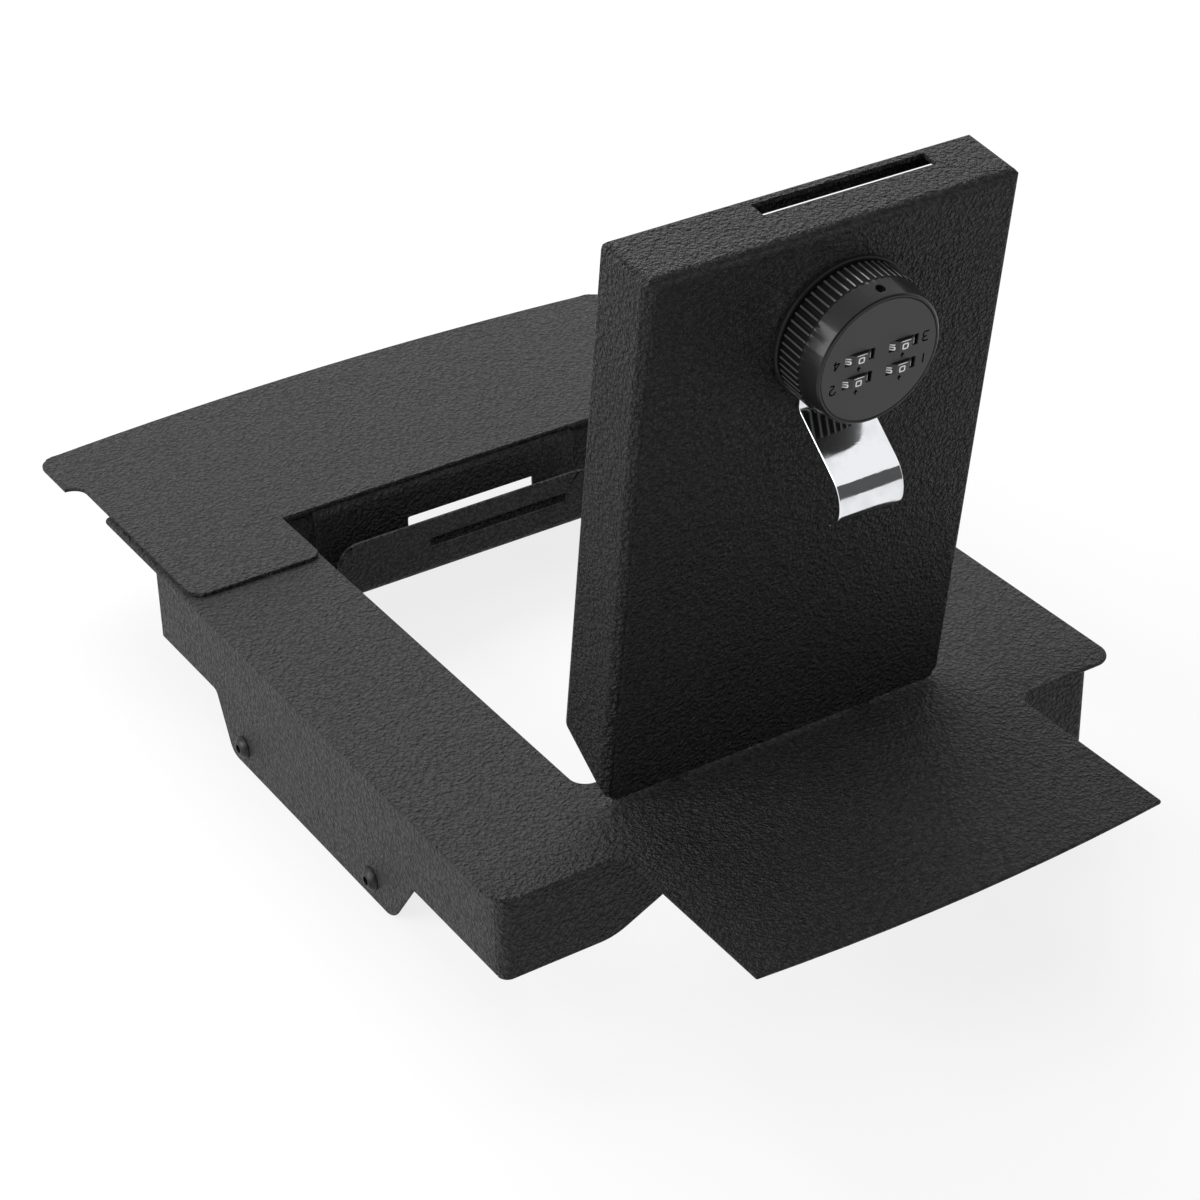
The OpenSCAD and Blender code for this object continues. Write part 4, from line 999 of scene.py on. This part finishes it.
# %% One button-head screw
HEAD, HEAD_TALL, SOCKET, SOCKET_DEEP = 5.5, 3.3, 4.0, 2.0
SHANK, POINT, LEAD, SUNK = 2.46, 2.0, 0.9, 0.5


def button_screw(shank):
    """A socket screw in millimetres: its head stands up from z = 0, its shank hangs down."""
    dome = [(0, HEAD_TALL), (2.75, HEAD_TALL), (3.1, HEAD_TALL - 0.12), (4.0, HEAD_TALL - 0.6),
            (4.85, HEAD_TALL - 1.45), (5.3, HEAD_TALL - 2.3), (HEAD, 0.55), (HEAD, 0.2),
            (5.3, 0), (0, 0)]
    socket = prism(6, SOCKET / 2 / math.cos(math.pi / 6), HEAD_TALL - SOCKET_DEEP, HEAD_TALL + 1)
    head = carved(turned(dome), socket, "DIFFERENCE")
    core = turned([(0, SUNK), (SHANK, SUNK), (SHANK, LEAD - shank), (POINT, -shank),
                   (0, -shank)], 32)
    ridge = thread(length=shank - LEAD - SUNK, **SCREW_THREAD)
    return joined([(head, Matrix()), (core, Matrix()),
                   (ridge, Matrix.Translation((0, 0, LEAD - shank)))], "button_screw")


screw = button_screw(16)
print("screw:", len(screw.polygons), "faces, tallest", round(max(v.co.z for v in screw.vertices), 2),
      "widest", round(max(math.hypot(v.co.x, v.co.y) for v in screw.vertices), 2))

# %% Screws set out on their points
layout_recipe, wire = recipe("set_out", {"Fastener": "Object", "Metal": "Material"})
model = node(layout_recipe, "GeometryNodeObjectInfo", {"transform_space": "ORIGINAL"},
             {"Object": wire["Fastener"]}, "Geometry")
aims = node(layout_recipe, "GeometryNodeInputNamedAttribute", {"data_type": "FLOAT_VECTOR"},
            {"Name": "aim"}, "Attribute")
facing = node(layout_recipe, "FunctionNodeAlignRotationToVector", {"axis": "Z"}, {"Vector": aims})
placed = node(layout_recipe, "GeometryNodeInstanceOnPoints", {},
              {"Points": wire["Geometry"], "Instance": model, "Rotation": facing})
serve(layout_recipe, placed, wire["Metal"])


def set_out(mesh, seats, metal):
    """Copies of a mesh on (place, aim) pairs; everything in one unit."""
    points = bpy.data.meshes.new("seats")
    points.from_pydata([tuple(place) for place, aim in seats], [], [])
    points.attributes.new("aim", "FLOAT_VECTOR", "POINT")
    for k, (place, aim) in enumerate(seats):
        points.attributes["aim"].data[k].vector = aim
    model = bpy.data.objects.new("fastener", mesh)
    bpy.context.scene.collection.objects.link(model)
    result = cook(layout_recipe, points, {"Fastener": model, "Metal": metal})
    bpy.data.objects.remove(model)
    return result


seats = []
for low, high in solids_of("side_screws"):
    way = -1 if low.x < 0 else 1
    edge = low.x if way < 0 else high.x
    foot = Vector((edge - way * HEAD_TALL, (low.y + high.y) / 2, (low.z + high.z) / 2))
    seats.append((foot, (way, 0, 0)))
placed_screws = set_out(screw, seats, oxide)
placed_screws.transform(FROM_MM)
piece = stand_in("side_screws", "button_screws", sharpened(placed_screws), oxide, "frame")
print(len(seats), "screws,", len(piece.data.polygons), "faces")

# %% The bolt under the cam
low, high = solids_of("cam_bolt", KNOB_FRAME.inverted())[0]
bolt = set_out(button_screw(15), [(Vector((0, 0, low.z + HEAD_TALL)), (0, 0, -1))], oxide)
bolt.transform(MILLIMETRES)
stand_in("cam_bolt", "cam_bolt_head", sharpened(bolt), oxide, "knob")
print("bolt seated", round(low.z + HEAD_TALL, 2), "mm from the lid's face")

# %% [markdown]
# A real nut's corners are turned off at 30 degrees, so its end faces are round. The CAD
# nuts are plain hexagons; here each is cut back by a turned blank with both ends tapered.


# %% Nuts with turned-off corners
CORNER_ANGLE, FACE_SHARE, BLANK_SPARE = math.radians(30), 0.95, 1.01


def nut_blank(corner_radius, low, high):
    """A turned blank with both ends tapered, a little wider than the nut's corners."""
    face_radius = corner_radius * math.cos(math.pi / 6) * FACE_SHARE
    fall = (corner_radius - face_radius) * math.tan(CORNER_ANGLE)
    blank_radius = corner_radius * BLANK_SPARE
    return turned([(0, low), (face_radius, low), (blank_radius, low + fall),
                   (blank_radius, high - fall), (face_radius, high), (0, high)])


blanks = []
for low, high in solids_of("side_nuts"):
    middle = (low + high) / 2
    turn_x = Matrix.Translation(middle) @ Matrix.Rotation(math.pi / 2, 4, "Y")
    half = (high.x - low.x) / 2
    blanks.append((nut_blank((high.z - low.z) / 2, -half, half), FROM_MM @ turn_x))
nuts = carved(merged_copy("side_nuts"), joined(blanks, "blanks"), "INTERSECT")
stand_in("side_nuts", "chamfered_side_nuts", sharpened(nuts, 20), zinc, "frame")

low, high = solids_of("lock_nut", KNOB_FRAME.inverted())[0]
blank = nut_blank((high.x - low.x) / 2, low.z, high.z)
blank.transform(MILLIMETRES)
nut = carved(merged_copy("lock_nut"), blank, "INTERSECT")
stand_in("lock_nut", "chamfered_lock_nut", sharpened(nut, 20), zinc, "lid")
print("nuts:", len(blanks), "small and one of", round((high.x - low.x) / 2, 2), "mm corner radius")

# %% The threaded barrel through the lid
low, high = solids_of("lock_barrel", KNOB_FRAME.inverted())[0]
CREST, ROOT, BORE, FLANGE, FLANGE_TALL = 11.0, 10.35, 8.05, (high.x - low.x) / 2, 1.2
sleeve = turned([(BORE, low.z), (9.9, low.z), (ROOT, low.z + 0.6), (ROOT, high.z - FLANGE_TALL),
                 (FLANGE, high.z - FLANGE_TALL), (FLANGE, high.z), (BORE, high.z)], 64)
ridge = thread(core=10.3, crest=CREST, pitch=1.5, length=14.5, metal=zinc)
barrel = joined([(sleeve, Matrix()), (ridge, Matrix.Translation((0, 0, low.z + LEAD)))],
                "threaded_barrel")
barrel.transform(MILLIMETRES)
piece = stand_in("lock_barrel", "threaded_barrel", sharpened(barrel), zinc, "lid")
print("barrel from", round(low.z, 1), "to", round(high.z, 1), "mm,",
      len(piece.data.polygons), "faces")

# %% [markdown]
# Folded sheets meet edge to edge, so the maker runs short weld beads along the inside
# corners before coating. A bead is a row of overlapping puddles. The recipe walks along a
# path, puts a ball on it at an even pitch, and varies the size of each a little.

# %% Weld beads
bead_recipe, wire = recipe("weld_bead", {
    "Pitch": "Float", "Radius": "Float", "Unevenness": "Float", "Seed": "Int",
    "Coating": "Material"})
steps = node(bead_recipe, "GeometryNodeCurveToPoints", {"mode": "LENGTH"},
             {"Curve": wire["Geometry"], "Length": wire["Pitch"]}, "Points")
ball = node(bead_recipe, "GeometryNodeMeshUVSphere", {},
            {"Segments": 8, "Rings": 5, "Radius": wire["Radius"]}, "Mesh")
spread = wire["Unevenness"]
size = node(bead_recipe, "FunctionNodeRandomValue", {"data_type": "FLOAT"},
            {"Min": 1.0 - spread, "Max": spread + 1.0, "Seed": wire["Seed"]}, 1)
puddles = node(bead_recipe, "GeometryNodeInstanceOnPoints", {},
               {"Points": steps, "Instance": ball, "Scale": size})
serve(bead_recipe, puddles, wire["Coating"])


def weld_beads(runs, radius, seed):
    """Beads along straight runs, in millimetres and in any one frame."""
    return cook(bead_recipe, plain_path("runs", *runs), {
        "Pitch": 1.3, "Radius": radius, "Unevenness": 0.1, "Seed": seed, "Coating": coat})


def corner_of(node_name, side):
    """One face of an upright sheet, in millimetres: side -1 is its low x, +1 its high x."""
    low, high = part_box(node_name)
    return (low.x if side < 0 else high.x) / MM, low.y / MM, high.y / MM, high.z / MM


BEAD, RUN, SKIRT_SHEET = 1.5, 22, 2
SKIRT_SHARES, FRONT_STARTS = (0.03, 0.27, 0.5, 0.73, 0.91), (-138, -94, -24, 2, 72, 116)
BRACKET_RUN, ARM_RUN, ARM_LEVEL = (1, 15), (-46, -3), -2.0
runs = []
for name, side in (("left_skirt", 1), ("right_skirt", -1)):
    x, y0, y1, under = corner_of(name, side)
    for share in SKIRT_SHARES:
        start = y0 + share * (y1 - y0)
        runs.append(((x, start, under), (x, start + RUN, under)))
front_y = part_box("front_skirt")[0].y / MM + SKIRT_SHEET
for x in FRONT_STARTS:
    runs.append(((x, front_y, under), (x + RUN, front_y, under)))
for name in ("hinge_bracket_left", "hinge_bracket_right"):
    low, high = (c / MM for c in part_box(name))
    for x in (low.x, high.x):
        runs.append(tuple((x, low.y + along, under) for along in BRACKET_RUN))
beads = weld_beads(runs, BEAD, seed=3)
beads.transform(FROM_MM)
link("frame_welds", beads, coat, "frame")
print(len(runs), "runs under the plate,", len(beads.polygons), "faces")

# %% Weld beads of the hinge arms
runs = []
for name in ("hinge_arm_left", "hinge_arm_right"):
    low, high = solids_of(name, KNOB_FRAME.inverted())[0]
    for x in (low.x, high.x):
        runs.append(tuple((x, high.y + along, ARM_LEVEL) for along in ARM_RUN))
beads = weld_beads(runs, BEAD, seed=5)
beads.transform(MILLIMETRES)
link("arm_welds", beads, coat, "lid")
print(len(runs), "runs inside the lid,", len(beads.polygons), "faces")

# %% [markdown]
# A photographer would stand this safe on white and light it from above and from the left,
# so that the plate's top and the left side read lighter than the front. Two large soft
# lamps do that here. The world is a soft grey for the light, and shows white only to the
# camera and in reflections; the floor is pale and keeps the shadow. A grey card behind the
# camera, which lights nothing, gives the polished pull its dark band.

# %% Floor, lamps and world
def seen_directly(tree):
    """1 for what the camera sees straight or in a reflection or through glass, else 0."""
    path = node(tree, "ShaderNodeLightPath", {}, {}, "Is Camera Ray").out.node
    camera, glossy, through = (Wire(tree, path.outputs[name]) for name in
                               ("Is Camera Ray", "Is Glossy Ray", "Is Transmission Ray"))
    return (camera + glossy + through).clamp()


def studio_floor():
    """White paper that glows a little for the camera, so that it reads as white."""
    form = bmesh.new()
    bmesh.ops.create_grid(form, x_segments=1, y_segments=1, size=6)
    mesh = mesh_from(form, "studio_floor")
    material, tree, shader, place = finish("white_paper", {"Roughness": 0.9})
    paper = noise(place, 60.0, 2.0, 0.5)
    feed(tree, shader, Base_Color=blend_colours(paper, grey(0.86), grey(0.88)))
    glow = node(tree, "ShaderNodeEmission", {}, {"Color": (1, 1, 1, 1), "Strength": 1.0})
    paper_shader = Wire(tree, shader.outputs["BSDF"])
    mixed = node(tree, "ShaderNodeMixShader", {},
                 {0: seen_directly(tree) * 0.8, 1: paper_shader, 2: glow})
    tree.links.new(mixed.out, tree.nodes["Material Output"].inputs["Surface"])
    mesh.materials.append(material)
    floor = bpy.data.objects.new("studio_floor", mesh)
    bpy.context.scene.collection.objects.link(floor)


studio_floor()


def lamp(name, place, aim, size, power):
    """A soft rectangle of light; places and size in metres, power in watts."""
    light = bpy.data.lights.new(name, "AREA")
    light.shape, light.size, light.size_y, light.energy = "RECTANGLE", size[0], size[1], power
    holder = bpy.data.objects.new(name, light)
    ahead = Vector(aim) - Vector(place)
    turned_to = ahead.to_track_quat("-Z", "Y").to_matrix().to_4x4()
    holder.matrix_world = Matrix.Translation(place) @ turned_to
    bpy.context.scene.collection.objects.link(holder)


lamp("back_light", (0.4, 1.4, 1.6), (0, 0, 0.1), (1.8, 1.4), 38)
lamp("left_light", (-1.9, 0.3, 0.9), (0, 0, 0.15), (1.6, 1.4), 42)


def grey_card():
    """A tall grey card behind the camera, which only polished metal mirrors."""
    form = bmesh.new()
    corners = [(-3, -3, 0), (4.5, -3, 0), (4.5, -3, 2.1), (-3, -3, 2.1)]
    form.faces.new([form.verts.new(c) for c in corners][::-1])
    mesh = mesh_from(form, "grey_card")
    material, tree, shader, place = finish("grey_card_paper", {"Roughness": 0.9})
    fibre = noise(place, 40.0, 2.0, 0.5)
    feed(tree, shader, Base_Color=blend_colours(fibre, grey(0.10), grey(0.12)))
    mesh.materials.append(material)
    card = bpy.data.objects.new("grey_card", mesh)
    card.visible_camera = card.visible_diffuse = card.visible_shadow = False
    bpy.context.scene.collection.objects.link(card)


grey_card()

WORLD_LIGHT = 0.45
world = bpy.data.worlds.new("studio")
world.use_nodes = True
bpy.context.scene.world = world
sky = world.node_tree
sky.nodes.clear()
soft = node(sky, "ShaderNodeBackground", {}, {"Color": (1, 1, 1, 1), "Strength": WORLD_LIGHT})
white = node(sky, "ShaderNodeBackground", {}, {"Color": (1, 1, 1, 1), "Strength": 1.0})
mixed = node(sky, "ShaderNodeMixShader", {}, {0: seen_directly(sky), 1: soft, 2: white})
node_out = sky.nodes.new("ShaderNodeOutputWorld")
sky.links.new(mixed.out, node_out.inputs["Surface"])
bpy.context.scene.view_settings.view_transform = "Standard"
